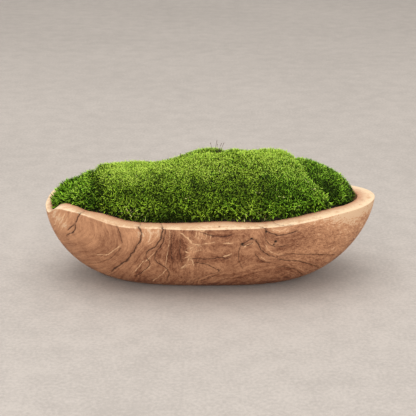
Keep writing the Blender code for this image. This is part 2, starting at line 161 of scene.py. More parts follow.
# Dark cracks: width and places, all in millimetres
CRACKS = (
    (1.15, ((-147, 112), (-150, 104), (-153, 96), (-155, 92), (-157, 87), (-158, 82), (-159, 77),
            (-161, 72), (-167, 67), (-173, 61))),
    (0.85, ((-158, 84), (-164, 78), (-169, 71))),
    (1.6, ((-84, 112), (-80, 103), (-82, 96), (-81, 91), (-80, 88), (-79, 85), (-79, 81), (-80, 75),
           (-82, 71), (-85, 67), (-87, 63), (-88, 58), (-92, 55), (-93, 51), (-97, 45), (-103, 39),
           (-110, 32), (-116, 24), (-119, 12))),
    (1.45, ((-56, 106), (-54, 92), (-55, 87), (-56, 80), (-59, 74), (-63, 68), (-69, 63), (-73, 59),
            (-75, 52))),
    (0.75, ((-75, 53), (-72, 48), (-70, 43), (-73, 36), (-79, 29), (-90, 16))),
    (0.8, ((-51, 90), (-52, 83), (-55, 71), (-61, 62), (-64, 55), (-63, 47), (-58, 42), (-51, 36),
           (-48, 27), (-53, 12))),
    (0.45, ((-107, 90), (-103, 78), (-102, 68))),
    (0.3, ((-104, 62), (-119, 43), (-145, 26))),
    (0.8, ((37, 72), (41, 75), (47, 79), (55, 77))),
    (0.6, ((38, 70), (45, 71), (49, 76))),
    (1.1, ((49, 78), (53, 75), (56, 70), (59, 64), (62, 60), (69, 54), (76, 52), (80, 46))),
    (0.6, ((53, 57), (58, 49), (64, 45), (72, 44))),
    (0.9, ((78, 49), (91, 45), (103, 42), (113, 37), (123, 31), (133, 20))),
    (0.55, ((80, 36), (90, 34), (102, 28), (113, 12))),
    (0.55, ((76, 52), (93, 54), (111, 51), (129, 47), (152, 39))),
    (0.9, ((58, 97), (62, 92), (66, 87), (72, 84), (79, 81), (86, 82), (93, 83), (104, 85))),
    (0.65, ((63, 82), (66, 74), (72, 68), (82, 66), (92, 68))),
    (0.45, ((35, 70), (33, 62), (33, 53), (35, 44), (39, 34))),
    (0.75, ((-20, 52), (-6, 52), (5, 52), (8, 54), (14, 54), (18, 52), (22, 53), (26, 57))),
    (0.65, ((-16, 46), (-4, 44), (5, 38), (10, 34), (8, 26))),
    (0.5, ((12, 35), (8, 27), (-4, 18), (-20, 11))),
    (0.6, ((-8, 88), (2, 84), (16, 83), (26, 86))),
    (0.35, ((-14, 19), (-2, 27), (14, 32))),
    (0.9, ((72, 113), (75, 105), (79, 99), (86, 95), (97, 93))),
    (0.6, ((-34, 76), (-35, 62), (-33, 46))),
    (0.6, ((-44, 84), (-45, 66), (-44, 48))),
)
# How deep the deepest crack is cut, in millimetres, and how far its sides reach, in widths of the crack
CRACK_DEPTH = 1.12
CRACK_REACH = 1.8
# Pale veins: width and places, in millimetres
VEINS = (
    (1.1, ((-20, 72), (-17, 69), (-15, 67))), (1.2, ((-22, 64), (-17, 68), (-12, 70))),
    (1.0, ((-23, 61), (-16, 65), (-13, 66))), (0.9, ((-23, 69), (-18, 65))),
    (0.6, ((64, 69), (68, 62), (76, 57), (86, 56))), (0.5, ((59, 55), (63, 50), (70, 47))),
    (1.8, ((-13, 93), (-10, 90), (-6, 92))), (1.0, ((-24, 66), (-18, 66), (-14, 69), (-10, 70))),
    (0.8, ((-27, 62), (-22, 60), (-19, 64))), (0.8, ((-29, 54), (-25, 55), (-21, 52))),
    (0.7, ((-28, 46), (-24, 44), (-21, 45))), (0.55, ((-77, 47), (-84, 36), (-92, 24))),
    (0.55, ((-104, 66), (-111, 59), (-119, 51), (-136, 46))), (0.5, ((-69, 39), (-75, 33), (-81, 26))),
    (0.55, ((-50, 36), (-59, 24), (-69, 11))), (0.55, ((-64, 60), (-70, 52), (-76, 46))),
    (0.32, ((-46, 89), (-47, 73), (-49, 61), (-51, 47), (-52, 36))),
    (1.1, ((-32, 87), (-25, 80), (-21, 74), (-16, 67), (-20, 62), (-24, 57), (-25, 51), (-30, 36))),
    (0.85, ((-20, 74), (-13, 72), (-4, 74), (7, 76))), (0.85, ((-23, 59), (-16, 64), (-9, 65))),
    (1.1, ((-16, 67), (-13, 71), (-7, 73))), (0.8, ((-26, 49), (-29, 43), (-34, 37))),
    (0.7, ((-24, 54), (-20, 48), (-19, 42))), (0.5, ((-15, 90), (-17, 81))),
    (0.5, ((-12, 88), (-14, 78))), (0.45, ((-9, 88), (-10, 79))), (0.45, ((-4, 86), (-6, 79))),
    (0.4, ((1, 85), (0, 80))), (1.0, ((-20, 69), (-13, 65))), (1.1, ((17, 74), (21, 74.5), (27, 75))),
    (1.0, ((17, 56), (21, 57.5), (25, 60))), (0.8, ((39, 68), (44, 72), (49, 74))),
    (0.5, ((66, 94), (76, 88), (84, 88), (93, 93))), (0.9, ((-186, 73), (-177, 92))),
    (0.9, ((-181, 72), (-170, 95))), (0.5, ((-176, 72), (-164, 95))),
    (0.4, ((-60, 83), (-66, 75), (-72, 70))),
)
# Where a drawn line fades: from this share of its way to its end, where another line is nearer than this
# many millimetres, and between these two distances from it, in millimetres too
LINE_END = 0.92
LINES_APART = 1.5
LINE_FADE = (5.0, 3.0)
# How many widths away a place counts that has no line near
NO_LINE = 9.0
# Pits of knots: place, reach and depth, in millimetres
KNOTS = ((37, 72, 2.3, 2.0), (47.5, 79, 1.8, 1.4), (75.5, 73.5, 2.1, 1.7), (73.5, 69.5, 1.5, 1.2),
         (64, 87, 1.6, 1.0), (10.5, 99, 1.2, 0.5))
# Patches that are lighter or darker: place, reach along and up in millimetres, and how much lighter.
# The dark ones low along the bottom, up to about 15 mm above the ground, are painted shade where the flank
# turns under towards the ground, and the pale one at 172 along and 96 up is partly a painted highlight
PATCHES = (
    (-36, 64, 4, 18, -0.2), (-29, 62, 3, 12, -0.1), (-47, 62, 5, 20, -0.14), (-41, 66, 15, 30, -0.12),
    (-48, 36, 10, 16, -0.02), (-34, 30, 12, 12, 0.08), (-16, 68, 5, 4, 0.14), (-21, 60, 3.5, 6, 0.14),
    (-24, 57, 4, 10, 0.12), (-26, 45, 5, 10, 0.14), (-12, 83, 14, 6, 0.1), (-138, 72, 18, 16, 0.16),
    (-128, 50, 20, 8, -0.06), (-180, 84, 14, 14, 0.16), (-69, 81, 12, 12, 0.15), (-95, 70, 12, 16, 0.05),
    (72, 74, 12, 9, -0.2), (60, 58, 9, 7, -0.12), (42, 77, 8, 5, -0.12), (20, 84, 28, 4, -0.11),
    (30, 77, 26, 4, 0.06), (8, 66, 22, 5, 0.08), (10, 55, 22, 5, -0.1), (22, 45, 26, 10, 0.05),
    (150, 75, 40, 22, 0.08), (110, 97, 34, 6, 0.12), (172, 96, 36, 15, 0.34), (6, 83, 12, 2.5, -0.06),
    (10, 71, 22, 2.0, -0.16), (4, 49, 22, 2.4, -0.12), (20, 91, 20, 4, -0.13), (150, 92, 34, 9, 0.08),
    (69, 68, 6, 7, 0.3), (64, 84, 4, 6, -0.14), (52, 84, 5, 8, 0.14), (84, 72, 7, 6, -0.16),
    (82, 88, 13, 4, 0.3), (-150, 62, 26, 14, 0.05), (62, 53, 6, 3.5, 0.26), (57, 48, 5, 5, -0.16),
    (44, 44, 18, 8, 0.03), (44, 62, 6, 8, 0.12), (105, 72, 22, 8, -0.07), (80, 15, 60, 12, -0.04),
    (-70, 87, 15, 9, 0.28), (-85, 80, 10, 11, 0.24), (-58, 88, 4, 9, 0.22), (107, 81, 16, 10, -0.22),
    (130, 87, 15, 7, -0.14), (92, 73, 9, 6, -0.1), (-30, 68, 5, 20, -0.19), (-59, 56, 6, 10, -0.28),
    (-128, 67, 12, 10, -0.17), (-108, 68, 10, 10, -0.05), (107, 54, 14, 5, -0.14),
    (152, 47, 12, 9, 0.21), (80, 77, 4, 6, 0.22), (0, 5, 95, 8, -0.15), (-127, 22, 9, 7, 0.18),
    (35, 53, 5, 4, 0.12), (44, 70, 4, 5, -0.18), (4, 38, 26, 8, 0.09), (-30, 40, 5, 12, -0.12),
    (-67, 70, 4, 6, 0.12), (-84, 56, 7, 8, -0.12), (-122, 78, 8, 7, -0.1), (-163, 76, 6, 6, 0.1),
    (-156, 34, 8, 8, 0.1), (81, 60, 6, 4, -0.12), (97, 74, 6, 5, -0.12), (-16, 82, 7, 7, -0.12),
    (24, 62, 10, 4, -0.1), (-62, 33, 10, 7, -0.1), (85, 33, 24, 8, -0.09), (74, 8, 14, 6, -0.1),
    (-72, 9, 16, 6, -0.12), (148, 81, 14, 6, -0.09), (88, 84, 5, 5, 0.1),
)
# Waves over the flank: height, length along and up in millimetres, and start. The first two make the drawn
# lines unsteady, and the last are what the carver's tool leaves, as shares of CARVED_DEPTH
WOBBLE_ALONG = ((0.25, 5.3, 1.9, 0), (0.22, -3.1, 0.9, 0))
WOBBLE_UP = ((0.30, 3.7, 5.3, 0), (0.25, 1.3, -2.1, 0))
TOOL_WAVES = ((0.25, 17, 31, 0), (0.25, 29, -13, 2))
CARVED_DEPTH = 0.30
# How softly the growth lines hold the surface that runs through them
PLATE_SOFTNESS = 60.0
# Colours of the bowl's marks as they show on a screen, in steps of 255
RIM_STAIN = (178, 118, 84)
CRACK_HALO = (120, 74, 48)
VEIN_COLOUR = (236, 192, 148)
CRACK_COLOUR = (58, 32, 22)
PIT_COLOUR = (34, 20, 14)


class BowlSettings(bpy.types.PropertyGroup):
    """Sizes and colours of the carved bowl"""

    length: FloatProperty(name="Length", description="From tip to tip", unit="LENGTH",
                          default=BOWL_BOX[1].x - BOWL_BOX[0].x)
    width: FloatProperty(name="Width", description="Across the middle", unit="LENGTH", default=0.186)
    rim_height: FloatProperty(name="Rim height", description="At the middle of the long sides",
                              unit="LENGTH", default=0.0915)
    columns: IntProperty(name="Columns", description="Divisions round the bowl", default=660)
    rows: IntProperty(name="Rows", description="Divisions up the flank", default=98)
    dark_wood: FloatVectorProperty(name="Dark wood", description="Colour of the dark figure",
                                   subtype="COLOR", default=(0.182, 0.062, 0.028))
    light_wood: FloatVectorProperty(name="Light wood", description="Colour of the pale figure",
                                    subtype="COLOR", default=(0.635, 0.322, 0.168))
    rim_wood: FloatVectorProperty(name="Rim", description="Colour of the cut rim",
                                  subtype="COLOR", default=(0.64, 0.390, 0.226))
    # Also the colour of the painted highlight along the rim's outer edge
    rim_pale: FloatVectorProperty(name="Worn rim", description="Colour of the rim where it is palest",
                                  subtype="COLOR", default=(0.82, 0.61, 0.40))


class MossSettings(bpy.types.PropertyGroup):
    """Sizes and colours of the moss"""

    spacing: FloatProperty(name="Spacing", description="Least way between two shoots", unit="LENGTH",
                           default=0.0017)
    shoot_length: FloatProperty(name="Shoot length", description="From root to tip", unit="LENGTH",
                                default=0.0062)
    leaf_width: FloatProperty(name="Leaf width", description="At a leaf's widest", unit="LENGTH",
                              default=0.00120)
    lean: FloatProperty(name="Lean", description="How far shoots lean from the surface's own direction",
                        subtype="FACTOR", default=0.36)
    rise: FloatProperty(name="Rise", description="How much shoots on a slope turn up to the light",
                        subtype="FACTOR", default=0.40)
    drift: FloatProperty(name="Drift", description="How much neighbouring shoots lean the same way",
                         subtype="FACTOR", default=1.0, soft_max=3.0)
    bright: FloatVectorProperty(name="Bright tips", description="Tips of the yellowish shoots",
                                subtype="COLOR", default=(0.50, 0.80, 0.050))
    deep: FloatVectorProperty(name="Deep tips", description="Darker leaves of the yellowish shoots",
                              subtype="COLOR", default=(0.060, 0.112, 0.007))
    green_bright: FloatVectorProperty(name="Bright green", description="Tips of the green shoots",
                                      subtype="COLOR", default=(0.38, 0.77, 0.042))
    green_deep: FloatVectorProperty(name="Deep green", description="Darker leaves of the green shoots",
                                    subtype="COLOR", default=(0.038, 0.105, 0.004))
    # The roots' dark colour is partly the moss's own and partly painted shade among the shoots
    root: FloatVectorProperty(name="Roots", description="Colour at the root of a shoot",
                              subtype="COLOR", default=(0.010, 0.015, 0.003))


class StageSettings(bpy.types.PropertyGroup):
    """Floor, light and camera"""

    floor: FloatVectorProperty(name="Floor", description="Colour of the floor", subtype="COLOR",
                               default=(0.462, 0.418, 0.382))
    key_power: FloatProperty(name="Overhead light", description="Power of the large soft light",
                             subtype="POWER", default=21)
    front_power: FloatProperty(name="Front light", description="Power of the low soft light in front",
                               subtype="POWER", default=16)
    sky: FloatProperty(name="Fill", description="Strength of the even light all round", default=0.78)


def srgb(red, green, blue):
    """Linear colour of one that is given as it shows on a screen, in steps of 255."""
    return tuple(((v / 255 + 0.055) / 1.055) ** 2.4 for v in (red, green, blue))


def mixed(first, second, share):
    """A colour that lies a share of the way from one colour to another."""
    return tuple((1 - share) * a + share * b for a, b in zip(first, second))


def at_strength(colour, share):
    """A colour made darker or lighter."""
    return tuple(share * v for v in colour)


def smoothstep(low, high, value):
    """0 at low, 1 at high, and a smooth step between them."""
    t = np.clip((value - low) / (high - low), 0, 1)
    return t * t * (3 - 2 * t)


def feed(tree, socket, value):
    """Sets an input, or links it to an output or to a node's first output."""
    if isinstance(value, bpy.types.Node):
        value = value.outputs[0]
    if isinstance(value, bpy.types.NodeSocket):
        tree.links.new(value, socket)
    else:
        socket.default_value = value


def add_node(tree, kind, inputs=None, **settings):
    """Adds a node, sets it and feeds its inputs."""
    made = tree.nodes.new(kind)
    for name, value in settings.items():
        setattr(made, name, value)
    for key, value in (inputs or {}).items():
        feed(tree, made.inputs[key], value)
    return made


def calc(tree, operation, *values, clamp=False):
    """A math node."""
    return add_node(tree, "ShaderNodeMath", dict(enumerate(values)), operation=operation, use_clamp=clamp)


def times(tree, value, factor, *more, clamp=False):
    """A value times a factor, plus one more value where it is given."""
    return calc(tree, "MULTIPLY_ADD" if more else "MULTIPLY", value, factor, *more, clamp=clamp)


def way_between(tree, value, start, end):
    """0 to 1 while a value goes from start to end."""
    return add_node(tree, "ShaderNodeMapRange", {"Value": value, 1: start, 2: end})


def split(tree, vector):
    """The three parts of a vector."""
    return add_node(tree, "ShaderNodeSeparateXYZ", {0: vector}).outputs


def scaled(tree, vector, strength):
    """A vector times a number."""
    return add_node(tree, "ShaderNodeVectorMath", {0: vector, "Scale": strength}, operation="SCALE")


def object_place(tree):
    """The place on the object."""
    return add_node(tree, "ShaderNodeTexCoord").outputs["Object"]


def ramp(tree, fac, stops):
    """A colour ramp with stops of place and colour."""
    made = add_node(tree, "ShaderNodeValToRGB", {"Fac": fac})
    elements = made.color_ramp.elements
    while len(elements) < len(stops):
        elements.new(0.5)
    for element, (place, colour) in zip(elements, stops):
        element.position = place
        element.color = (*colour, 1)
    return made


def blend_colours(tree, fac, first, second):
    """A mix of two colours, each a plain one or one that comes from a node."""
    made = add_node(tree, "ShaderNodeMix", {0: fac}, data_type="RGBA")
    for place, colour in ((6, first), (7, second)):
        given = isinstance(colour, (bpy.types.Node, bpy.types.NodeSocket))
        feed(tree, made.inputs[place], colour if given else (*colour, 1))
    return made.outputs[2]


def noise(tree, vector, scale, detail=2.0, roughness=0.5, distortion=0.0):
    """A noise texture."""
    return add_node(tree, "ShaderNodeTexNoise", {
        "Vector": vector, "Scale": scale, "Detail": detail, "Roughness": roughness,
        "Distortion": distortion})


def attribute(tree, name):
    """A number that the mesh holds."""
    return add_node(tree, "ShaderNodeAttribute", attribute_name=name).outputs["Fac"]


def new_material(name, roughness):
    """A material with a Principled shader, and its tree."""
    material = bpy.data.materials.new(name)
    material.use_nodes = True
    tree = material.node_tree
    tree.nodes["Principled BSDF"].inputs["Roughness"].default_value = roughness
    return material, tree


def finish_material(material, colour, specular=0.5, bump=None):
    """Gives a material its colour, its gloss, and bumps from a height, a strength and a distance."""
    tree = material.node_tree
    inputs = tree.nodes["Principled BSDF"].inputs
    feed(tree, inputs["Base Color"], colour)
    inputs["Specular IOR Level"].default_value = specular
    if bump:
        feed(tree, inputs["Normal"], add_node(
            tree, "ShaderNodeBump", dict(zip(("Height", "Strength", "Distance"), bump))))
    return material


def shifted(tree, tone, *parts):
    """A tone moved by noises, each with its weight."""
    for part, weight in parts:
        tone = times(tree, calc(tree, "SUBTRACT", part, 0.5), weight, tone)
    return tone


def wood_material(settings):
    """Carved wood: grain along the growth lines, pores, cracks, veins, and a pale cut rim."""
    material, tree = new_material("carved_wood", 0.62)
    place = object_place(tree)
    x, y, z = split(tree, place)
    along = times(tree, y, 0.6, x)
    growth = shifted(tree, attribute(tree, "growth"), (noise(tree, place, 42), 9.0),
                     (noise(tree, place, 230), 2.2))

    def grain(across, length, detail):
        """Noise that runs along the growth lines."""
        vector = add_node(tree, "ShaderNodeCombineXYZ", {
            0: times(tree, growth, across), 1: times(tree, along, length), 2: times(tree, z, length)})
        return noise(tree, vector, 1, detail, 0.6)

    def drawn(name, wander):
        """How strongly a drawn line shows here."""
        offset = calc(tree, "ABSOLUTE", attribute(tree, name))
        wobble = shifted(tree, offset, (speckle, wander), (blotches, wander))
        inside = calc(tree, "DIVIDE", calc(tree, "SUBTRACT", 1.0, wobble), 0.9, clamp=True)
        return times(tree, inside, attribute(tree, name + "_share"))

    streaks = grain(0.50, 45, 3)
    fibres = grain(0.85, 170, 2)
    clouds = noise(tree, place, 46, 3, 0.6)
    blotches = noise(tree, place, 150, 3, 0.6)
    speckle = noise(tree, place, 640, 2, 0.75)
    tone = shifted(tree, attribute(tree, "tone"), (grain(0.15, 12, 2), 0.60), (streaks, 0.46),
                   (fibres, 0.60), (clouds, 0.36), (blotches, 0.50), (speckle, 0.62))
    # Livelier towards the right tip and calmer towards the left one
    lively = times(tree, way_between(tree, x, -0.075, -0.100), -0.55,
                   times(tree, way_between(tree, x, 0.070, 0.115), 0.65))
    tone = times(tree, shifted(tree, 0.0, (speckle, 0.50), (fibres, 0.45)), lively, tone)
    # Thin dark threads, then pores
    ridge = calc(tree, "ABSOLUTE", calc(tree, "SUBTRACT", grain(0.20, 16, 3), 0.5))
    tone = times(tree, way_between(tree, ridge, 0.020, 0.0), -0.11, tone)
    pores = way_between(tree, grain(1.0, 240, 1), 0.60, 0.72)
    tone = times(tree, pores, -0.10, tone)
    dark, light = settings.dark_wood, settings.light_wood
    colour = ramp(tree, tone, (
        (0.0, at_strength(dark, 0.5)), (0.22, dark), (0.5, mixed(dark, light, 0.45)), (0.88, light),
        (1.0, mixed(light, settings.rim_pale, 0.65))))

    # The rim is palest at the left tip, has a painted highlight along its outer edge, and is stained along
    # its inner one
    across = attribute(tree, "across")
    wear_and_highlight = times(tree, way_between(tree, x, -0.150, -0.182), 1.1, times(tree, x, 2.6, 0.22))
    wear_and_highlight = shifted(tree, wear_and_highlight, (blotches, 4.4), (speckle, 2.8), (clouds, 3.0), (streaks, 1.4))
    wear_and_highlight = times(tree, way_between(tree, across, 0.30, 0.05), 0.5, wear_and_highlight, clamp=True)
    rim_colour = blend_colours(tree, wear_and_highlight, settings.rim_wood, settings.rim_pale)
    frayed = shifted(tree, across, (blotches, 1.0), (speckle, 0.8), (clouds, 0.8))
    stained = times(tree, way_between(tree, frayed, 0.42, 1.05), 0.85)
    rim_colour = blend_colours(tree, stained, rim_colour, srgb(*RIM_STAIN))
    colour = blend_colours(tree, attribute(tree, "rim"), colour, rim_colour)

    # A faint dark halo on one side of each crack, then the veins, the cracks and the knots
    offset = attribute(tree, "crack")
    beside = times(tree, way_between(tree, offset, 6.0, 0.0), calc(tree, "GREATER_THAN", offset, 0.0))
    halo = times(tree, times(tree, beside, attribute(tree, "crack_share")), 0.28)
    crack = drawn("crack", 1.1)
    for share, mark in ((halo, CRACK_HALO), (times(tree, drawn("vein", 3.4), 0.85), VEIN_COLOUR),
                        (times(tree, crack, 0.92), CRACK_COLOUR), (attribute(tree, "pit"), PIT_COLOUR)):
        colour = blend_colours(tree, share, colour, srgb(*mark))
    height = shifted(tree, calc(tree, "SUBTRACT", 0.0, crack), (fibres, 0.6), (streaks, 0.4),
                     (speckle, 0.8), (pores, -0.4))
    return finish_material(material, colour, specular=0.25, bump=(height, 0.35, 0.0004))


def swell(share, level):
    """Share of its full reach that a wall has at a level from 0 to 1, given its share at the foot."""
    return share + (1 - share) * (1 - (1 - level) ** FLANK_CURVE) ** (1 / FLANK_SWELL)


def waves_at(angle, waves):
    """Sum of some waves at an angle in radians."""
    height = 0.0
    for place, spread, wave in waves:
        away = (np.degrees(angle) - place + 180) % 360 - 180
        height = height + wave * np.exp(-((away / spread) ** 2))
    return height


def rim_height(angle, settings):
    """Height of the rim's outer edge at an angle in radians."""
    return settings.rim_height + TIP_RISE * np.cos(angle) ** 2 + waves_at(angle, RIM_WAVES)


def lip_height(angle, settings):
    """Height of the rim's inner edge at an angle in radians."""
    return rim_height(angle, settings) + waves_at(angle, LIP_WAVES)


def outline(angle, reach_x, reach_y, power, settings):
    """Places of a rounded outline, round the curved long axis."""
    c, s = np.cos(angle), np.sin(angle)
    x = np.sign(c) * reach_x * np.abs(c) ** (2 / power)
    y = np.sign(s) * reach_y * np.abs(s) ** (2 / power)
    return x, y + TIP_SET_BACK * np.abs(x / (settings.length / 2)) ** 3


def outer_ring(angle, level, settings, inset=0.0, drop=0.0):
    """Ring of places round the bowl's outside."""
    power = FOOT_POWER + (RIM_POWER - FOOT_POWER) * level
    foot = np.where(np.cos(angle) > 0, FOOT_SHARE_RIGHT, FOOT_SHARE_LEFT)
    reach_x = swell(foot, level) * settings.length / 2 - inset
    reach_y = swell(FOOT_SHARE_SIDE, level) * settings.width / 2 - inset
    x, y = outline(angle, reach_x, reach_y, power, settings)
    return np.stack([x, y, rim_height(angle, settings) * level - drop], axis=1)


def ragged(angle):
    """How far the hollow's edge wanders in at each angle, from 0 to 1."""
    draw = random.Random(SEED)
    wander = np.zeros(len(angle))
    for waves in RAGGED_WAVES:
        wander += np.sin(angle * waves + draw.uniform(0, 2 * math.pi)) / len(RAGGED_WAVES)
    return np.clip(0.5 + wander, 0, 1)


def hollow_ring(angle, level, settings, inset=0.0, drop=0.0):
    """Ring of places round the hollow."""
    right = np.cos(angle) > 0
    wall = np.where(right, WALL_RIGHT, WALL_LEFT)
    power = np.where(right, HOLLOW_POWER_RIGHT, HOLLOW_POWER_LEFT)
    inset = inset + RAGGED * ragged(angle) * smoothstep(0.90, 0.985, level)
    reach_x = (settings.length / 2 - wall) * swell(HOLLOW_SHARE_LONG, level) - inset
    reach_y = (settings.width / 2 - WALL_SIDE) * swell(HOLLOW_SHARE_SIDE, level) - inset
    x, y = outline(angle, reach_x, reach_y, power, settings)
    height = FLOOR_THICKNESS + (lip_height(angle, settings) - FLOOR_THICKNESS) * level
    return np.stack([x, y, height - drop], axis=1)


def evenly(places, steps, count, endpoint=True):
    """So many places with even steps between them, from fine places and the steps between those."""
    walked = np.concatenate([[0], np.cumsum(steps)])
    return np.interp(np.linspace(0, walked[-1], count, endpoint=endpoint), walked, places)


def even_angles(settings):
    """Angles of the columns, closer together on the front."""
    fine = np.linspace(0, 2 * math.pi, 6001)
    ring = outer_ring(fine, 1.0, settings)[:, :2]
    step = np.linalg.norm(np.diff(ring, axis=0), axis=1)
    front = smoothstep(0.15, -0.15, np.sin(fine[:-1]))
    return evenly(fine, step * (1 + (FRONT_SHARE - 1) * front), settings.columns, endpoint=False)


def even_levels(settings):
    """Levels of the rows up the flank, evenly far apart on the front."""
    fine = np.linspace(0, 1, 2001) ** 2
    front = np.full(1, 1.5 * math.pi)
    points = np.array([outer_ring(front, level, settings)[0] for level in fine])
    return evenly(fine, np.linalg.norm(np.diff(points, axis=0), axis=1), settings.rows)


def bowl_rings(settings):
    """Every ring of the bowl from its foot's middle to its floor's: points, share of rim, way across it."""
    # The share of rim is 1 on its face and less beside it. The way across is 0 on the outside, 1 at the
    # inner edge and more in the hollow
    angle = even_angles(settings)
    foot = outer_ring(angle, 0.0, settings)
    middle = foot.mean(axis=0)
    rings = [(middle + (foot - middle) * share, 0.0, 0.0) for share in FOOT_SHARES]
    rings += [(outer_ring(angle, level, settings), 0.0, 0.0) for level in even_levels(settings)[:-1]]
    # The rim's worn outer edge, its face and its worn inner edge, then the hollow
    for i in range(EDGE_ROWS):
        turn = math.pi / 2 * i / EDGE_ROWS
        wear = EDGE_WEAR * (1 - math.cos(turn)), EDGE_WEAR * (1 - math.sin(turn))
        rings.append((outer_ring(angle, 1.0, settings, *wear), 1.0 if i else 0.6, 0.0))
    outer = outer_ring(angle, 1.0, settings, EDGE_WEAR)
    inner = hollow_ring(angle, 1.0, settings, -EDGE_WEAR)
    for way in np.arange(FACE_ROWS + 1) / FACE_ROWS:
        rings.append((outer + (inner - outer) * way, 1.0, way))
    for i in range(1, EDGE_ROWS + 1):
        turn = math.pi / 2 * i / EDGE_ROWS
        wear = -EDGE_WEAR * (1 - math.sin(turn)), EDGE_WEAR * (1 - math.cos(turn))
        rings.append((hollow_ring(angle, 1.0, settings, *wear), 1.0, 1.0 + 0.1 * i))
    rings += [(hollow_ring(angle, level, settings), 0.5, 1.4) for level in HOLLOW_LEVELS]
    return rings


def thin_plate(points, values):
    """A smooth surface through values at points of a plane, as a function of two arrays."""
    def kernel(a, b):
        square = ((a[:, None, :] - b[None, :, :]) ** 2).sum(axis=2)
        return square * np.log(square + 1e-9)

    count = len(points)
    flat = np.hstack([np.ones((count, 1)), points])
    system = np.zeros((count + 3, count + 3))
    system[:count, :count] = kernel(points, points) + PLATE_SOFTNESS * np.eye(count)
    system[:count, count:] = flat
    system[count:, :count] = flat.T
    weights = np.linalg.solve(system, np.concatenate([values, np.zeros(3)]))

    def surface(x, z):
        spots = np.stack([x, z], axis=1)
        return kernel(spots, points) @ weights[:count] + weights[count] + spots @ weights[count + 1:]

    return surface


def smooth_line(points, steps):
    """A smooth line through points, with a few steps between each two."""
    marks = np.array(points, float)
    ends = np.vstack([2 * marks[0] - marks[1], marks, 2 * marks[-1] - marks[-2]])
    fine = []
    for before, a, b, after in zip(ends, ends[1:], ends[2:], ends[3:]):
        for t in np.linspace(0, 1, steps, endpoint=False):
            bend = 2 * a + (b - before) * t + (2 * before - 5 * a + 4 * b - after) * t**2
            fine.append((bend + (3 * a - before - 3 * b + after) * t**3) / 2)
    return np.array(fine + [marks[-1]])


def growth_surface():
    """How far each place of the flank lies from the heart of the figure, in millimetres."""
    lines = [(value, smooth_line(line, 2)) for value, line in GROWTH_LINES]
    values = np.concatenate([np.full(len(line), float(value)) for value, line in lines])
    return thin_plate(np.vstack([line for _, line in lines]), values)


def line_offset(x, z, line):
    """Distance to a line of points, signed by its side, and how far along it the nearest place lies."""
    best = np.full(len(x), np.inf)
    signed = np.zeros(len(x))
    along = np.zeros(len(x))
    line = smooth_line(line, 3)
    for i, (start, end) in enumerate(zip(line, line[1:])):
        step = end - start
        dx, dz = x - start[0], z - start[1]
        t = np.clip((dx * step[0] + dz * step[1]) / (step @ step), 0, 1)
        away = np.hypot(dx - t * step[0], dz - t * step[1])
        side = np.where(dx * step[1] - dz * step[0] > 0, 1.0, -1.0)
        nearer = away < best
        best = np.where(nearer, away, best)
        signed = np.where(nearer, away * side, signed)
        along = np.where(nearer, (i + t) / (len(line) - 1), along)
    return signed, along


def drawn_lines(x, z, lines):
    """For lines with a width: signed distance in widths to the nearest one, and how much it counts."""
    first = np.full(len(x), np.inf)
    second = np.full(len(x), np.inf)
    offset = np.full(len(x), NO_LINE)
    share = np.zeros(len(x))
    for width, points in lines:
        signed, along = line_offset(x, z, points)
        away = np.abs(signed)
        nearer = away < first
        second = np.where(nearer, first, np.minimum(second, away))
        first = np.where(nearer, away, first)
        offset = np.where(nearer, signed / width, offset)
        share = np.where(nearer, smoothstep(1.0, LINE_END, along), share)
    apart = np.clip((second - first) / LINES_APART, 0, 1)
    return offset, share * apart * smoothstep(*LINE_FADE, first)


def waves_over(x, z, waves):
    """Sum of some waves over the flank, at places in millimetres."""
    return sum(height * np.sin(x / along + z / up + start) for height, along, up, start in waves)


def with_patches(number, x, z, patches):
    """A number with soft patches added: place, reach along and up in millimetres, and how much."""
    for place_x, place_z, reach_x, reach_z, more in patches:
        number = number + more * np.exp(-((x - place_x) / reach_x) ** 2 - ((z - place_z) / reach_z) ** 2)
    return number


def wood_figure(points, across):
    """The numbers that the wood's material reads, and how deep each place is carved."""
    x, y, z = (points / MM).T
    z = z + RIM_SPAN * across
    # The back has the front's figure, drawn out and bent so that it doesn't mirror it
    back = smoothstep(-10, 10, y)
    drift = 12 * np.sin(z / 26 + x / 60) * back * smoothstep(200, 150, np.abs(x))
    figure_x, figure_z = x * (1 - 0.06 * back) + drift, z + 7 * np.sin(x / 38) * back
    growth = growth_surface()(figure_x, figure_z)
    figure_x = figure_x + waves_over(x, z, WOBBLE_ALONG)
    figure_z = figure_z + waves_over(x, z, WOBBLE_UP)
    crack, crack_share = drawn_lines(figure_x, figure_z, CRACKS)
    vein, vein_share = drawn_lines(figure_x, figure_z, VEINS)
    crack_share = crack_share * (1 - 0.6 * back) * (1 - 0.5 * smoothstep(0.1, 0.4, across))
    # Lighter upwards, and more so towards the tips: partly the wood's own colour and partly painted shade on
    # the lower flank, which faces down
    tone = 0.44 + 0.20 * smoothstep(10, 95, z) * smoothstep(60, 190, np.abs(x + 10))
    tone = with_patches(tone + 0.10 * smoothstep(20, 85, z), figure_x, figure_z, PATCHES)
    pit, depth = np.zeros(len(x)), np.zeros(len(x))
    for place_x, place_z, reach, deep in KNOTS:
        near = np.exp(-(np.hypot(x - place_x, z - place_z) / reach) ** 2) * (1 - back)
        pit = np.maximum(pit, near)
        depth = np.maximum(depth, deep * near)
    groove = np.clip(1 - np.abs(crack) / CRACK_REACH, 0, 1) * crack_share * CRACK_DEPTH
    depth = np.maximum(depth, groove) + CARVED_DEPTH * (0.5 + waves_over(x, z, TOOL_WAVES))
    return {"growth": growth, "crack": crack, "crack_share": crack_share, "vein": vein, "across": across,
            "vein_share": vein_share, "tone": tone, "pit": smoothstep(0.25, 0.75, pit)}, depth * MM


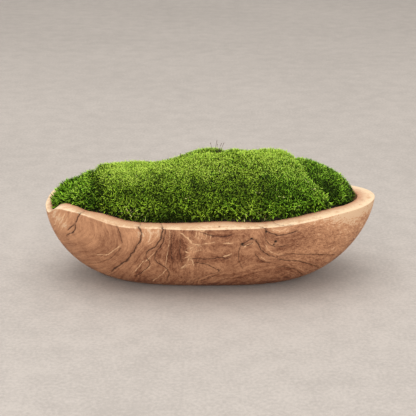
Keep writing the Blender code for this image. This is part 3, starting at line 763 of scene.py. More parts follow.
def ring_normals(grid):
    """Outward unit vectors of a grid of rings and columns."""
    round_way = np.roll(grid, -1, axis=1) - np.roll(grid, 1, axis=1)
    up_way = np.gradient(grid, axis=0)
    normal = np.cross(round_way, up_way)
    return normal / (np.linalg.norm(normal, axis=2)[:, :, None] + 1e-12)


def link_object(name, mesh):
    """A new object in the scene."""
    made = bpy.data.objects.new(name, mesh)
    bpy.context.scene.collection.objects.link(made)
    return made


def new_mesh(name, points, faces, material):
    """A smooth mesh of points and faces with its material."""
    mesh = bpy.data.meshes.new(name)
    mesh.from_pydata(points, [], faces)
    mesh.materials.append(material)
    mesh.shade_smooth()
    return mesh


def store_numbers(mesh, numbers):
    """Keeps numbers on a mesh's first vertices, and 0 on the rest, for its nodes to read."""
    for name, values in numbers.items():
        layer = mesh.attributes.new(name, "FLOAT", "POINT")
        values = np.pad(values, (0, len(mesh.vertices) - len(values)))
        layer.data.foreach_set("value", values.astype(np.float32))


def drop_numbers(mesh, names):
    """Takes numbers off a mesh that nothing reads any more."""
    for name in names:
        if name in mesh.attributes:
            mesh.attributes.remove(mesh.attributes[name])


def finish_piece(piece, material_slot, *nodes):
    """Hands a finished piece to the frame."""
    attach(piece, "root")
    if nodes:
        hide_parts(*nodes)


def ring_faces(rows, columns, first=0):
    """Numbers of the points of some rings, the number of each one's neighbour, and the faces between."""
    index = first + np.arange(rows * columns).reshape(rows, columns)
    beside = np.roll(index, -1, axis=1)
    quads = np.stack([index[:-1], beside[:-1], beside[1:], index[1:]], axis=2).reshape(-1, 4)
    return index, beside, quads.tolist()


def grid_mesh(name, grid, material):
    """A closed mesh of rings of points with a fan at each end."""
    rows, columns = grid.shape[:2]
    points = np.vstack([grid.reshape(-1, 3), grid[0].mean(axis=0), grid[-1].mean(axis=0)])
    index, beside, faces = ring_faces(rows, columns)
    for one, other, middle in ((beside[0], index[0], index.size), (index[-1], beside[-1], index.size + 1)):
        faces += np.stack([one, other, np.full(columns, middle)], axis=1).tolist()
    return new_mesh(name, points.tolist(), faces, material)


def carve_bowl(settings):
    """The bowl as one fine closed mesh, with cracks, knots and a worn rim."""
    rings = bowl_rings(settings)
    grid = np.array([ring for ring, _, _ in rings])
    columns = grid.shape[1]
    rim, across = (np.repeat([ring[k] for ring in rings], columns) for k in (1, 2))
    numbers, depth = wood_figure(grid.reshape(-1, 3), across)
    outside = np.repeat(np.arange(len(rings)) < len(FOOT_SHARES) + settings.rows + FACE_ROWS, columns)
    depth = depth * outside * smoothstep(0.0005, 0.004, grid[:, :, 2].reshape(-1))
    grid = grid - ring_normals(grid) * depth.reshape(grid.shape[:2])[:, :, None]
    mesh = grid_mesh("bowl", grid, wood_material(settings))
    store_numbers(mesh, {**numbers, "rim": rim})
    finish_piece(link_object("bowl", mesh), "carved_wood", "wood_bowl")


def bed_material():
    """Dark, dry fibres."""
    material, tree = new_material("dry_bed", 0.95)
    place = object_place(tree)
    both = times(tree, noise(tree, place, 1900, 3, 0.6), 0.4,
                 times(tree, noise(tree, place, 420, 5, 0.75, 0.6), 0.7))
    colour = ramp(tree, both, ((0.35, (0.010, 0.007, 0.004)), (0.6, (0.045, 0.030, 0.016)),
                               (0.85, (0.12, 0.085, 0.045))))
    return finish_material(material, colour, bump=(both, 0.8, 0.002))


def core_material():
    """The matted inside of a cushion, near black as painted shade among the shoots."""
    material, tree = new_material("moss_core", 0.95)
    fine = noise(tree, object_place(tree), 1300, 3, 0.7)
    colour = ramp(tree, fine, ((0.35, (0.006, 0.008, 0.002)), (0.7, (0.030, 0.040, 0.010))))
    return finish_material(material, colour, bump=(fine, 0.7, 0.001))


# Leaves of a shoot: how many, where on the stem, and from and to: slant in degrees, length, width, tone
# The low leaves' darker tones are partly painted shade among the shoots
LEAF_KINDS = (
    (5, 0.06, (34, 66), (0.46, 0.60), (0.8, 1.0), (-0.34, -0.20)),
    (3, 0.26, (26, 62), (0.56, 0.74), (0.70, 0.90), (-0.20, -0.04)),
    (2, 0.40, (34, 74), (0.76, 1.04), (0.62, 0.82), (0.08, 0.24)),
)
# Turn in radians from each leaf to the next, how far that strays, and how far leaves bend in degrees
LEAF_TURN = 2.399
TURN_STRAY = 0.4
LEAF_BEND = (-15, 25)
# How many different shoots there are
SHOOT_KINDS = 12
# From this tone on, a leaf may be a dry one
DRY_FROM = 0.09
# A leaf's colour is looked up on its own map: up is the way from root to tip, and across is its tone,
# once for the yellowish shoots and once more, in the other half, for the green ones. The tone carries the
# cushion's painted light and shade
LEAF_MAP = "OFBake"
STRAW_TONE = 0.965
BROWN_TONE = 0.02
LEAST_TONE = 0.08
MOST_TONE = 0.90
# Colours that no setting holds: the palest tips, and dry leaves
PALE_TIP = (0.88, 1.0, 0.22)
STRAW_LEAF = (0.66, 0.62, 0.27)
BROWN_LEAF = (0.085, 0.052, 0.030)


def leaf_tips(tree, tone, bright, deep):
    """Colour of a leaf's tip by its tone."""
    return ramp(tree, tone, (
        (BROWN_TONE + 0.02, BROWN_LEAF), (LEAST_TONE - 0.02, at_strength(deep, 0.6)), (0.30, deep),
        (0.60, mixed(deep, bright, 0.45)), (0.80, bright), (MOST_TONE + 0.01, mixed(bright, PALE_TIP, 0.45)),
        (STRAW_TONE - 0.02, STRAW_LEAF)))


def leaf_material(settings):
    """Leaves: dark at the root, partly as painted shade among the shoots, bright at the tip, with straw and
    brown ones among them.
    """
    material, tree = new_material("moss_leaf", 0.55)
    across, way, _ = split(tree, add_node(tree, "ShaderNodeUVMap", uv_map=LEAF_MAP))
    twice = times(tree, across, 2.0)
    green = calc(tree, "GREATER_THAN", twice, 1.0)
    tone = calc(tree, "SUBTRACT", twice, green)
    tip = blend_colours(tree, green, leaf_tips(tree, tone, settings.bright, settings.deep),
                        leaf_tips(tree, tone, settings.green_bright, settings.green_deep))
    fade = times(tree, tone, 0.6, times(tree, way, 1.5, -0.72), clamp=True)
    return finish_material(material, blend_colours(tree, fade, settings.root, tip), specular=0.05)


def new_tree(name, inputs):
    """An empty geometry tree, with inputs that each have a name and a value or a kind, and their outputs."""
    tree = bpy.data.node_groups.new(name, "GeometryNodeTree")
    tree.is_modifier = True
    for label, value in {"Geometry": "Geometry", **inputs}.items():
        kind = value if isinstance(value, str) else type(value).__name__.capitalize()
        socket = tree.interface.new_socket(label, in_out="INPUT", socket_type="NodeSocket" + kind)
        if value is not kind:
            socket.default_value = value
    tree.interface.new_socket("Geometry", in_out="OUTPUT", socket_type="NodeSocketGeometry")
    return tree, tree.nodes.new("NodeGroupInput").outputs


def end_tree(tree, geometry, material):
    """Ends a geometry tree in real meshes with a material."""
    solid = add_node(tree, "GeometryNodeRealizeInstances", {0: geometry})
    dressed = add_node(tree, "GeometryNodeSetMaterial", {"Geometry": solid, "Material": material})
    add_node(tree, "NodeGroupOutput", {0: dressed})
    return tree


def grown(base, name, tree, inputs):
    """What a tree makes of an object, as a plain mesh object of its own."""
    grower = base.modifiers.new(name, "NODES")
    grower.node_group = tree
    for socket in tree.interface.items_tree:
        if socket.in_out == "INPUT" and socket.name in inputs:
            grower[socket.identifier] = inputs[socket.name]
    base.update_tag()
    mesh = bpy.data.meshes.new_from_object(base.evaluated_get(bpy.context.evaluated_depsgraph_get()))
    base.modifiers.remove(grower)
    drop_numbers(mesh, (*SHOOT_NUMBERS, *CUSHION_NUMBERS))
    mesh.name = name
    return link_object(name, mesh)


def core_tree():
    """Sinks a solid's surface by a depth, less so on its sides, and smooths it."""
    tree, given = new_tree("cushion_core", {
        "Depth": 0.003, "Side Share": 0.5, "Voxel": 0.0018, "Smoothing": 8, "Material": "Material"})
    filled = add_node(tree, "GeometryNodeMeshToVolume", {
        "Mesh": given["Geometry"], "Voxel Size": given["Voxel"],
        "Interior Band Width": times(tree, given["Depth"], 2.0)}, resolution_mode="VOXEL_SIZE")
    shell = add_node(tree, "GeometryNodeVolumeToMesh", {
        "Volume": filled, "Voxel Size": given["Voxel"], "Threshold": 0.5}, resolution_mode="VOXEL_SIZE")
    place = add_node(tree, "GeometryNodeInputPosition")
    soft = add_node(tree, "GeometryNodeBlurAttribute", {
        "Value": place, "Iterations": given["Smoothing"]}, data_type="FLOAT_VECTOR")
    moved = add_node(tree, "GeometryNodeSetPosition", {"Geometry": shell, "Position": soft})
    normal = add_node(tree, "GeometryNodeInputNormal")
    steep = way_between(tree, split(tree, normal)[2], 0.7, 0.1)
    back = times(tree, times(tree, steep, given["Side Share"]), given["Depth"])
    fuller = add_node(tree, "GeometryNodeSetPosition", {
        "Geometry": moved, "Offset": scaled(tree, normal, back)})
    smooth = add_node(tree, "GeometryNodeSetShadeSmooth", {"Geometry": fuller, "Shade Smooth": True})
    return end_tree(tree, smooth, given["Material"])


# What a cushion's inside tells its shoots while they grow, and what the shoots hold themselves
CUSHION_NUMBERS = ("open", "tone", "green", "dry", "size", "rise")
SHOOT_NUMBERS = ("shoot_tone", "shoot_green", "shoot_dry", "shoot_straw", "leaf_spot", "id")
CUSHIONS = ("moss_front", "moss_left", "moss_right", "moss_rear_left", "moss_rear_right")
# How deep a cushion's inside lies below its solid's surface
CORE_DEPTH = 0.0026
# How far a ray feels for open sky
SKY_REACH = 0.020
# Slants of those rays round a surface's own direction: degrees off it, and how many
SKY_RAYS = ((0, 1), (32, 5), (62, 8))
# How far off the surface they start, and how steeply down one may point and still count
RAY_START = 0.0005
LOWEST_RAY = -0.3


def merged_copy(name):
    """A copy of a CAD solid whose faces share their corners."""
    mesh = frame["nodes"][name].data.copy()
    bm = bmesh.new()
    bm.from_mesh(mesh)
    bmesh.ops.remove_doubles(bm, verts=bm.verts, dist=0.00001)
    bm.to_mesh(mesh)
    bm.free()
    return link_object(name + "_copy", mesh)


def cushion_cores(material):
    """The inside of each cushion, sunk below its solid's surface and dark as painted shade."""
    tree = core_tree()
    cores = {}
    for name in CUSHIONS:
        copy = merged_copy(name)
        cores[name] = grown(copy, name + "_inside", tree, {"Depth": CORE_DEPTH, "Material": material})
        bpy.data.objects.remove(copy)
    return cores


def blocking_tree(meshes):
    """Where rays meet any of some meshes, and which place on them is nearest."""
    points, faces = [], []
    for mesh in meshes:
        base = len(points)
        points += [vertex.co for vertex in mesh.vertices]
        faces += [[base + corner for corner in face.vertices] for face in mesh.polygons]
    return BVHTree.FromPolygons(points, faces)


def sky_share(core, tree):
    """How much of the open sky each vertex sees, from 0 to 1."""
    slants = []
    for off, count in SKY_RAYS:
        off = math.radians(off)
        for k in range(count):
            turn = 2 * math.pi * (k + 0.3) / count
            slants.append(Vector((math.sin(off) * math.cos(turn), math.sin(off) * math.sin(turn),
                                  math.cos(off))))
    shares = []
    for vertex in core.data.vertices:
        turn = Vector((0, 0, 1)).rotation_difference(vertex.normal)
        start = vertex.co + vertex.normal * RAY_START
        ways = [turn @ slant for slant in slants]
        free = sum(1 for way in ways
                   if way.z > LOWEST_RAY and tree.ray_cast(start, way, SKY_REACH)[0] is None)
        shares.append(free / len(ways))
    return np.array(shares)


# Lighter and darker places of each cushion, in millimetres: place along and up, reach along and up, and
# how much lighter. Many are painted light: the bright ones along the front cushion's shoulders are partly
# painted highlights, and the dark ones along the creases between cushions, where the front cushion's top
# meets the rear ones, and at the front cushion's foot by the rim are painted shade
MOSS_PATCHES = {
    "moss_front": (
        (-108, 142, 32, 12, 0.44), (-129, 117, 6, 22, -0.12), (-92, 131, 9, 8, 0.08),
        (-70, 142, 26, 9, 0.09), (-58, 118, 16, 14, -0.12), (-14, 140, 20, 16, -0.05),
        (-10, 128, 12, 8, -0.08), (30, 136, 12, 24, -0.11), (14, 130, 20, 12, -0.03),
        (70, 124, 15, 22, -0.16), (82, 153, 26, 9, 0.08), (50, 118, 7, 12, 0.04),
        (86, 128, 12, 26, 0.04), (108, 140, 9, 9, 0.18), (120, 130, 8, 9, 0.28), (131, 119, 9, 9, 0.32),
        (142, 110, 9, 7, 0.26), (30, 100, 34, 5, 0.12), (-95, 99, 20, 7, 0.1), (-42, 102, 20, 8, -0.14),
        (-44, 97, 38, 5, -0.26), (14, 96, 26, 4, -0.16), (4, 158.6, 22, 1.4, -0.26),
        (60, 160, 50, 5, 0.14), (-30, 157, 26, 3, 0.08), (84, 112, 30, 9, 0.05), (35, 148, 12, 6, -0.16),
        (24, 153, 12, 4, -0.1), (106, 141, 6, 6, -0.14), (0, 133, 9, 7, 0.17), (-62, 104, 12, 5, 0.16),
        (-92, 111, 8, 7, -0.17), (-76, 116, 8, 5, -0.1), (81, 118, 5, 5, -0.11), (2, 107, 8, 5, -0.13),
        (-23, 138, 8, 8, 0.09),
    ),
    "moss_rear_left": (
        (4, 151, 20, 1.2, -0.2),
    ),
    "moss_right": (
        (116, 138, 7, 7, -0.1), (126, 129, 7, 7, -0.12), (140, 116, 8, 8, -0.14),
        (152, 104, 6, 7, -0.08), (136, 120, 4.5, 4, -0.24), (146, 111, 4.5, 4, -0.24),
        (160, 114, 10, 12, 0.06), (122, 138, 12, 9, 0.04), (124, 138, 9, 5, -0.16),
        (143, 132, 6, 6, -0.2), (149, 102, 8, 6, 0.22),
    ),
    "moss_left": (
        (-156, 124, 14, 9, -0.1), (-158, 102, 18, 8, 0.1), (-137, 114, 4.5, 20, -0.12),
        (-143, 113, 6, 9, 0.12), (-168, 109, 6, 6, -0.18), (-154, 101, 8, 6, 0.12),
    ),
}
# Dry places, in millimetres: place along and up, reach along and up, and share of dry leaves. Elsewhere
# the share is LEAST_DRY
DRY_PATCHES = {
    "moss_front": (
        (-92, 96, 16, 5, 0.62), (-152, 112, 5, 4, 0.12), (-34, 97, 3, 2, 0.3), (58, 98, 4, 2.5, 0.35),
        (64, 98, 3, 2.5, 0.3), (34, 98, 30, 4, 0.05),
    ),
}
LEAST_DRY = 0.006
CUSHION_TONES = {"moss_left": 0.05, "moss_right": 0.03}
CUSHION_GREENS = {"moss_left": 0.80, "moss_right": 0.95, "moss_rear_left": 0.3, "moss_rear_right": 0.3}


def moss_numbers(points, ways, sky, name):
    """What a cushion's shoots need to know at each place: how open it is, their tones, size and rise."""
    x, _, z = (points / MM).T
    # Lighter towards the crest and darker low down: partly the moss's own colour, partly painted light and
    # shade.
    # Also lighter where the surface faces up, as painted light, and darker where it sees little sky, as
    # painted shade in the creases
    tone = 0.24 + 0.38 * smoothstep(112, 158, z) + 0.12 * smoothstep(0.3, 1.0, ways[:, 2]) + 0.14 * sky
    tone = tone - 0.12 * smoothstep(128, 100, z) + CUSHION_TONES.get(name, 0.0)
    tone = with_patches(tone, x, z, MOSS_PATCHES.get(name, ()))
    right_side = 0.8 * smoothstep(48, 92, x) * smoothstep(160, 128, z)
    green = np.full(len(x), CUSHION_GREENS[name]) if name in CUSHION_GREENS else 0.12 + right_side
    dry = with_patches(np.full(len(x), LEAST_DRY), x, z, DRY_PATCHES.get(name, ()))
    # Shoots are longer and lie flatter near the rim
    foot = smoothstep(132, 100, z) * (1.0 if name == "moss_front" else 0.5)
    size = 0.68 + 0.46 * foot
    if name == "moss_right":
        size = size * (1 - 0.45 * smoothstep(158, 172, x))
    if name == "moss_left":
        size = size * (1 + 0.60 * smoothstep(-158, -176, x))
    return {"open": smoothstep(0.0, 0.10, sky), "tone": tone, "green": green, "dry": dry, "size": size,
            "rise": 1 - 0.9 * foot}


def leaning(out, slant):
    """Unit vector that leans out from upright by a slant in radians."""
    return out * math.sin(slant) + Vector((0, 0, math.cos(slant)))


def leafy_shoot(name, settings, draw, material):
    """One shoot: low leaves round its stem, darker partly as painted shade, and a few long ones, each with
    its place on the map.
    """
    points, faces, spots = [], [], []
    turn = draw.uniform(0, 2 * math.pi)
    for count, low, slants, sizes, widths, shades in LEAF_KINDS:
        for _ in range(count):
            turn += LEAF_TURN + draw.uniform(-TURN_STRAY, TURN_STRAY)
            out = Vector((math.cos(turn), math.sin(turn), 0))
            side = Vector((-math.sin(turn), math.cos(turn), 0))
            slant = math.radians(draw.uniform(*slants))
            bend = slant + math.radians(draw.uniform(*LEAF_BEND))
            size = settings.shoot_length * draw.uniform(*sizes)
            half = settings.leaf_width * draw.uniform(*widths) / 2
            foot = Vector((0, 0, settings.shoot_length * low))
            belly = foot + leaning(out, slant) * size * 0.5
            tip = belly + leaning(out, bend) * size * 0.5
            base = len(points)
            points += [foot, belly - side * half, belly + side * half, tip]
            faces += [(base, base + 1, base + 2), (base + 1, base + 3, base + 2)]
            shade = draw.uniform(*shades)
            # At the foot, on both sides of the belly and at the tip: shade, way up the leaf, step aside
            spots += [(shade, 0.0, 0.0), (shade, 0.6, -0.01), (shade, 0.6, 0.01), (shade, 1.0, 0.0)]
    mesh = new_mesh(name, points, faces, material)
    layer = mesh.attributes.new("leaf_spot", "FLOAT_VECTOR", "CORNER")
    corners = np.array([spots[loop.vertex_index] for loop in mesh.loops])
    layer.data.foreach_set("vector", corners.ravel().astype(np.float32))
    return bpy.data.objects.new(name, mesh)


def shoot_collection(settings, material):
    """A few different shoots to plant."""
    draw = random.Random(SEED)
    kinds = bpy.data.collections.new("shoots")
    for i in range(SHOOT_KINDS):
        kinds.objects.link(leafy_shoot(f"shoot_{i}", settings, draw, material))
    return kinds


def random_value(tree, low, high, seed):
    """A random number for each shoot."""
    return add_node(tree, "FunctionNodeRandomValue", {2: low, 3: high, "Seed": seed},
                    data_type="FLOAT").outputs[1]


def held_number(tree, name):
    """A number that the geometry holds under a name."""
    return add_node(tree, "GeometryNodeInputNamedAttribute", {"Name": name}, data_type="FLOAT")


def shoot_turns(tree, given, place, normal):
    """How each shoot is turned: off the surface, towards the light, at random and with its neighbours."""
    rise = add_node(tree, "ShaderNodeCombineXYZ", {2: 1.0})
    wild = add_node(tree, "FunctionNodeRandomValue", {
        0: (-1, -1, -1), 1: (1, 1, 1), "Seed": SEED + 1}, data_type="FLOAT_VECTOR")
    drift = noise(tree, place, given["Tuft Scale"], 1.0).outputs["Color"]
    drift = add_node(tree, "ShaderNodeVectorMath", {0: drift, 1: (0.5, 0.5, 0.5)}, operation="SUBTRACT")
    way = normal
    rising = times(tree, given["Rise"], held_number(tree, "rise"))
    for push, strength in ((rise, rising), (wild, given["Lean"]), (drift, given["Drift"])):
        way = add_node(tree, "ShaderNodeVectorMath", {0: way, 1: scaled(tree, push, strength)},
                       operation="ADD")
    spin = add_node(tree, "FunctionNodeAxisAngleToRotation", {
        "Axis": (0, 0, 1), "Angle": random_value(tree, 0.0, 2 * math.pi, SEED + 2)})
    aligned = add_node(tree, "FunctionNodeAlignRotationToVector", {"Vector": way}, axis="Z")
    return add_node(tree, "FunctionNodeRotateRotation", {0: aligned, 1: spin}, rotation_space="LOCAL")


def leaf_places(tree):
    """The place of each corner of a leaf on the colour map."""
    spot = add_node(tree, "GeometryNodeInputNamedAttribute", {"Name": "leaf_spot"}, data_type="FLOAT_VECTOR")
    shade, way, side = split(tree, spot)
    # Towards the foot the low leaves grow darker and the long ones brighter: partly painted shade in the
    # gaps
    lively = calc(tree, "SUBTRACT", 2.0, held_number(tree, "rise"))
    tone = times(tree, shade, lively, held_number(tree, "shoot_tone"))
    tone = add_node(tree, "ShaderNodeClamp", {"Value": tone, "Min": LEAST_TONE, "Max": MOST_TONE})
    dry = times(tree, calc(tree, "GREATER_THAN", held_number(tree, "shoot_dry"), 0.0),
                calc(tree, "GREATER_THAN", shade, DRY_FROM))
    straw = held_number(tree, "shoot_straw")
    dead = add_node(tree, "ShaderNodeMix", {0: straw, 2: BROWN_TONE, 3: STRAW_TONE})
    tone = add_node(tree, "ShaderNodeMix", {0: dry, 2: tone, 3: dead})
    tone = calc(tree, "ADD", calc(tree, "ADD", tone, side), held_number(tree, "shoot_green"))
    return add_node(tree, "ShaderNodeCombineXYZ", {0: times(tree, tone, 0.5), 1: way})


# Of the dry leaves, so many are straw-coloured and the rest brown
STRAW_SHARE = 0.6
# Places to plant that are tried on each square metre, far more than the spacing leaves room for
PLACES_TO_TRY = 2000000.0
# Shoots differ in size between these shares of it
SHOOT_SIZES = (0.72, 1.18)


def shoots_tree():
    """Plants shoots on a cushion's open surface and colours each by its place."""
    tree, given = new_tree("moss_shoots", {
        "Shoots": "Collection", "Material": "Material", "Spacing": 0.0018, "Lean": 0.5, "Rise": 0.4,
        "Drift": 1.0, "Tuft Scale": 75.0, "Size": 1.0, "From": -1.0, "To": 1.0, "Tone Spread": 0.12,
        "Clump Scale": 125.0, "Clump Spread": 0.75, "Seed": SEED})
    planted = add_node(tree, "GeometryNodeDistributePointsOnFaces", {
        "Mesh": given["Geometry"], "Distance Min": given["Spacing"], "Density Max": PLACES_TO_TRY,
        "Density Factor": held_number(tree, "open"), "Seed": given["Seed"]}, distribute_method="POISSON")
    place = add_node(tree, "GeometryNodeInputPosition")
    x = split(tree, place)[0]
    outside = calc(tree, "ADD", calc(tree, "LESS_THAN", x, given["From"]),
                   calc(tree, "GREATER_THAN", x, given["To"]))
    kept = add_node(tree, "GeometryNodeDeleteGeometry", {
        "Geometry": planted, "Selection": outside}, domain="POINT")
    shoots = add_node(tree, "GeometryNodeCollectionInfo", {
        "Collection": given["Shoots"], "Separate Children": True, "Reset Children": True})
    size = times(tree, random_value(tree, *SHOOT_SIZES, SEED + 3), given["Size"])
    carried = add_node(tree, "GeometryNodeInstanceOnPoints", {
        "Points": kept, "Instance": shoots, "Pick Instance": True,
        "Rotation": shoot_turns(tree, given, place, planted.outputs["Normal"]),
        "Scale": times(tree, size, held_number(tree, "size"))})
    spread = times(tree, random_value(tree, -1.0, 1.0, SEED + 4), given["Tone Spread"])
    clump = calc(tree, "SUBTRACT", noise(tree, place, given["Clump Scale"]), 0.5)
    spread = times(tree, clump, given["Clump Spread"], spread)
    green, dry, straw = (random_value(tree, 0.0, 1.0, SEED + more) for more in (5, 6, 7))
    for name, value in {
            "shoot_tone": calc(tree, "ADD", held_number(tree, "tone"), spread),
            "shoot_green": calc(tree, "LESS_THAN", green, held_number(tree, "green")),
            "shoot_dry": calc(tree, "SUBTRACT", held_number(tree, "dry"), dry),
            "shoot_straw": calc(tree, "LESS_THAN", straw, STRAW_SHARE)}.items():
        carried = add_node(tree, "GeometryNodeStoreNamedAttribute", {
            "Geometry": carried, "Name": name, "Value": value}, data_type="FLOAT", domain="INSTANCE")
    solid = add_node(tree, "GeometryNodeRealizeInstances", {0: carried})
    mapped = add_node(tree, "GeometryNodeStoreNamedAttribute", {
        "Geometry": solid, "Name": LEAF_MAP, "Value": leaf_places(tree)},
        data_type="FLOAT2", domain="CORNER")
    return end_tree(tree, mapped, given["Material"])


# Where along the bowl the front cushion's shoots are parted into two pieces
PARTING = -0.030
# Pieces of shoots: name, cushion, from and to along the bowl, size and spacing
SHOOT_PIECES = (
    ("front_shoots_left", "moss_front", -1.0, PARTING, 1.0, 1.0),
    ("front_shoots_right", "moss_front", PARTING, 1.0, 1.0, 1.0),
    ("left_shoots", "moss_left", -1.0, 1.0, 1.12, 1.05),
    ("right_shoots", "moss_right", -1.0, 1.0, 1.0, 1.0),
    ("rear_left_shoots", "moss_rear_left", -1.0, 1.0, 1.0, 1.0),
    ("rear_right_shoots", "moss_rear_right", -1.0, 1.0, 1.0, 1.0),
)
SLOTS = {"moss_left": "dark_moss", "moss_right": "dark_moss"}


def grow_moss(settings):
    """Every cushion's core and its shoots."""
    cores = cushion_cores(core_material())
    blocking = blocking_tree([core.data for core in cores.values()]
                             + [frame["nodes"][name].data for name in ("wood_bowl", "inner_bed")])
    for name, core in cores.items():
        points = np.array([vertex.co for vertex in core.data.vertices])
        ways = np.array([vertex.normal for vertex in core.data.vertices])
        store_numbers(core.data, moss_numbers(points, ways, sky_share(core, blocking), name))
    leaf = leaf_material(settings)
    kinds = shoot_collection(settings, leaf)
    tree = shoots_tree()
    for piece_name, name, start, end, size, spacing in SHOOT_PIECES:
        piece = grown(cores[name], piece_name, tree, {
            "Shoots": kinds, "Material": leaf, "Spacing": settings.spacing * spacing,
            "Lean": settings.lean, "Rise": settings.rise, "Drift": settings.drift, "Size": size,
            "From": start, "To": end, "Seed": SEED + CUSHIONS.index(name)})
        finish_piece(piece, SLOTS.get(name, "bright_moss"), name)
    for name, core in cores.items():
        drop_numbers(core.data, CUSHION_NUMBERS)
        finish_piece(core, SLOTS.get(name, "bright_moss"), name)
    for shoot in list(kinds.objects):
        bpy.data.objects.remove(shoot)
    bpy.data.collections.remove(kinds)


# The level at which the stalks start to look for the cushions below them
CREST_TOP = 0.162
# Spore stalks: along the bowl, across it, length, lean to the right, all in millimetres
STALKS = (
    (3.6, 2.0, 11.5, -2.6), (5.4, 5.0, 11.0, 2.6), (9.6, 1.0, 10.5, 3.8), (11.6, 4.0, 11.5, 5.2),
    (7.4, 2.5, 10.0, 1.2), (-38.0, 6.0, 5.0, -0.8), (-33.0, 3.0, 4.5, 0.5), (-26.0, 5.0, 5.0, 0.8),
)
# How much more of each stalk is hidden among the shoots, in millimetres
STALK_HIDDEN = 5.0
# A stalk with its spore head, from below the surface up: share of the way up, and radius in millimetres
STALK_RINGS = ((-0.15, 0.26), (0.35, 0.25), (0.75, 0.22), (0.86, 0.20), (0.92, 0.42), (0.99, 0.14))
STALK_SIDES = 5


def stalk_material():
    """Dry, reddish brown."""
    material, tree = new_material("spore_stalk", 0.6)
    colour = ramp(tree, noise(tree, object_place(tree), 700), (
        (0.3, (0.060, 0.030, 0.022)), (0.7, (0.15, 0.085, 0.06))))
    return finish_material(material, colour)


def add_stalks():
    """Thin bare spore stalks that stand up from the crest."""
    surface = blocking_tree([bpy.data.objects[name + "_inside"].data for name in CUSHIONS])
    points, faces = [], []
    for along, across, length, lean in STALKS:
        foot = surface.find_nearest(Vector((along * MM, across * MM, CREST_TOP)))[0]
        tall = (length + STALK_HIDDEN) * MM
        index, _, quads = ring_faces(len(STALK_RINGS), STALK_SIDES, len(points))
        faces += [*quads, index[0][::-1].tolist(), index[-1].tolist()]
        for t, radius in STALK_RINGS:
            middle = foot + Vector((lean * MM * max(t, 0) ** 1.6, 0, tall * t))
            for k in range(STALK_SIDES):
                turn = 2 * math.pi * k / STALK_SIDES
                points.append(middle + Vector((math.cos(turn), math.sin(turn), 0)) * radius * MM)
    mesh = new_mesh("spore_stalks", points, faces, stalk_material())
    finish_piece(link_object("spore_stalks", mesh), "bright_moss")


def finish_bed():
    """The carried-over bed gets its dry, dark finish."""
    bed = frame["nodes"]["inner_bed"]
    bed.data.materials.clear()
    bed.data.materials.append(bed_material())


# Camera, fitted to the photograph's outlines
CAMERA_HEIGHT_DEGREES = 20
CAMERA_DISTANCE = 1.402
CAMERA_LENS_MM = 100
LOOK_AT = (-0.0024, 0.0, 0.0844)
# Soft lights: name, the setting that holds its power, size, place, and turn about X in degrees
LIGHTS = (
    ("overhead", "key_power", (1.8, 1.6), (-0.1, 0.02, 1.9), 0),
    ("front_fill", "front_power", (2.2, 0.9), (0.0, -1.9, 0.75), 70),
)
# Colour of the even light all round, and how far the floor goes each way
SKY_COLOUR = (1.0, 0.975, 0.94)
FLOOR_REACH = 9


def floor_material(settings):
    """Pale, faintly mottled concrete."""
    material, tree = new_material("floor", 0.75)
    place = object_place(tree)
    both = shifted(tree, 0.5, (noise(tree, place, 3.2, 4, 0.55), 0.7), (noise(tree, place, 34, 3, 0.6), 1.0),
                   (noise(tree, place, 260, 3, 0.7), 1.9))
    colour = ramp(tree, both, ((0.2, at_strength(settings.floor, 0.90)),
                               (0.8, at_strength(settings.floor, 1.10))))
    return finish_material(material, colour)


def set_stage(settings):
    """A plain pale floor, soft light and the camera."""
    corners = [(x * FLOOR_REACH, y * FLOOR_REACH, 0) for x, y in ((-1, -1), (1, -1), (1, 1), (-1, 1))]
    link_object("floor", new_mesh("floor", corners, [(0, 1, 2, 3)], floor_material(settings)))
    for name, power, size, place, turn in LIGHTS:
        lamp = bpy.data.lights.new(name, "AREA")
        lamp.shape = "RECTANGLE"
        lamp.size, lamp.size_y = size
        lamp.energy = getattr(settings, power)
        light = link_object(name, lamp)
        light.location = place
        light.rotation_euler.x = math.radians(turn)
    scene = bpy.context.scene
    scene.view_settings.view_transform = "Standard"
    scene.world = bpy.data.worlds.new("studio")
    scene.world.use_nodes = True
    background = scene.world.node_tree.nodes["Background"]
    background.inputs["Color"].default_value = (*SKY_COLOUR, 1)
    background.inputs["Strength"].default_value = settings.sky
    lens = bpy.data.cameras.new("camera")
    lens.lens = CAMERA_LENS_MM
    camera = link_object("camera", lens)
    height = math.radians(CAMERA_HEIGHT_DEGREES)
    back = Vector((0, -math.cos(height), math.sin(height))) * CAMERA_DISTANCE
    camera.location = Vector(LOOK_AT) + back
    camera.rotation_euler.x = math.radians(90 - CAMERA_HEIGHT_DEGREES)
    bpy.context.scene.camera = camera


class GARDEN_OT_carve_bowl(bpy.types.Operator):
    """Carve the wood bowl with its figure, cracks and worn rim"""

    bl_idname = "garden.carve_bowl"
    bl_label = "Carve Bowl"

    def execute(self, context):
        carve_bowl(context.scene.garden_bowl)
        return {"FINISHED"}


class GARDEN_OT_finish_bed(bpy.types.Operator):
    """Give the dry bed its finish"""

    bl_idname = "garden.finish_bed"
    bl_label = "Finish Bed"

    def execute(self, context):
        finish_bed()
        return {"FINISHED"}


class GARDEN_OT_grow_moss(bpy.types.Operator):
    """Grow the moss cushions, shoot by shoot"""

    bl_idname = "garden.grow_moss"
    bl_label = "Grow Moss"

    def execute(self, context):
        grow_moss(context.scene.garden_moss)
        return {"FINISHED"}


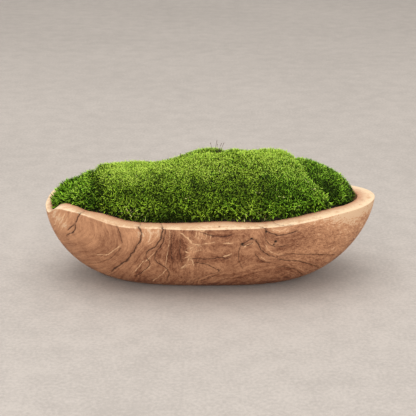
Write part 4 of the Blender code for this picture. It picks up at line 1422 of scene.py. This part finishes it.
class GARDEN_OT_add_stalks(bpy.types.Operator):
    """Stand the bare spore stalks on the crest"""

    bl_idname = "garden.add_stalks"
    bl_label = "Add Spore Stalks"

    def execute(self, context):
        add_stalks()
        return {"FINISHED"}


class GARDEN_OT_set_stage(bpy.types.Operator):
    """Set up the floor, the light and the camera"""

    bl_idname = "garden.set_stage"
    bl_label = "Set Stage"

    def execute(self, context):
        set_stage(context.scene.garden_stage)
        return {"FINISHED"}


class GARDEN_PT_panel(bpy.types.Panel):
    """The garden's settings and its steps in order"""

    bl_label = "Moss Bowl Garden"
    bl_idname = "GARDEN_PT_panel"
    bl_space_type = "VIEW_3D"
    bl_region_type = "UI"
    bl_category = "Moss Bowl"

    def draw(self, context):
        for group, steps in STEPS:
            box = self.layout.box()
            if group:
                settings = getattr(context.scene, group)
                for name in settings.__annotations__:
                    box.prop(settings, name)
            for step in steps:
                box.operator(step.bl_idname)


STEPS = (
    ("garden_bowl", (GARDEN_OT_carve_bowl,)),
    (None, (GARDEN_OT_finish_bed,)),
    ("garden_moss", (GARDEN_OT_grow_moss, GARDEN_OT_add_stalks)),
    ("garden_stage", (GARDEN_OT_set_stage,)),
)
GROUPS = {"garden_bowl": BowlSettings, "garden_moss": MossSettings, "garden_stage": StageSettings}


def register():
    for name, group in GROUPS.items():
        bpy.utils.register_class(group)
        setattr(bpy.types.Scene, name, PointerProperty(type=group))
    for _, steps in STEPS:
        for step in steps:
            bpy.utils.register_class(step)
    bpy.utils.register_class(GARDEN_PT_panel)


def unregister():
    bpy.utils.unregister_class(GARDEN_PT_panel)
    for _, steps in reversed(STEPS):
        for step in reversed(steps):
            bpy.utils.unregister_class(step)
    for name, group in reversed(GROUPS.items()):
        delattr(bpy.types.Scene, name)
        bpy.utils.unregister_class(group)


def main():
    """Makes the garden, one step after the other."""
    register()
    bpy.ops.garden.set_stage()
    bpy.ops.garden.carve_bowl()
    bpy.ops.garden.finish_bed()
    bpy.ops.garden.grow_moss()
    bpy.ops.garden.add_stalks()


if __name__ == "__main__":
    main()
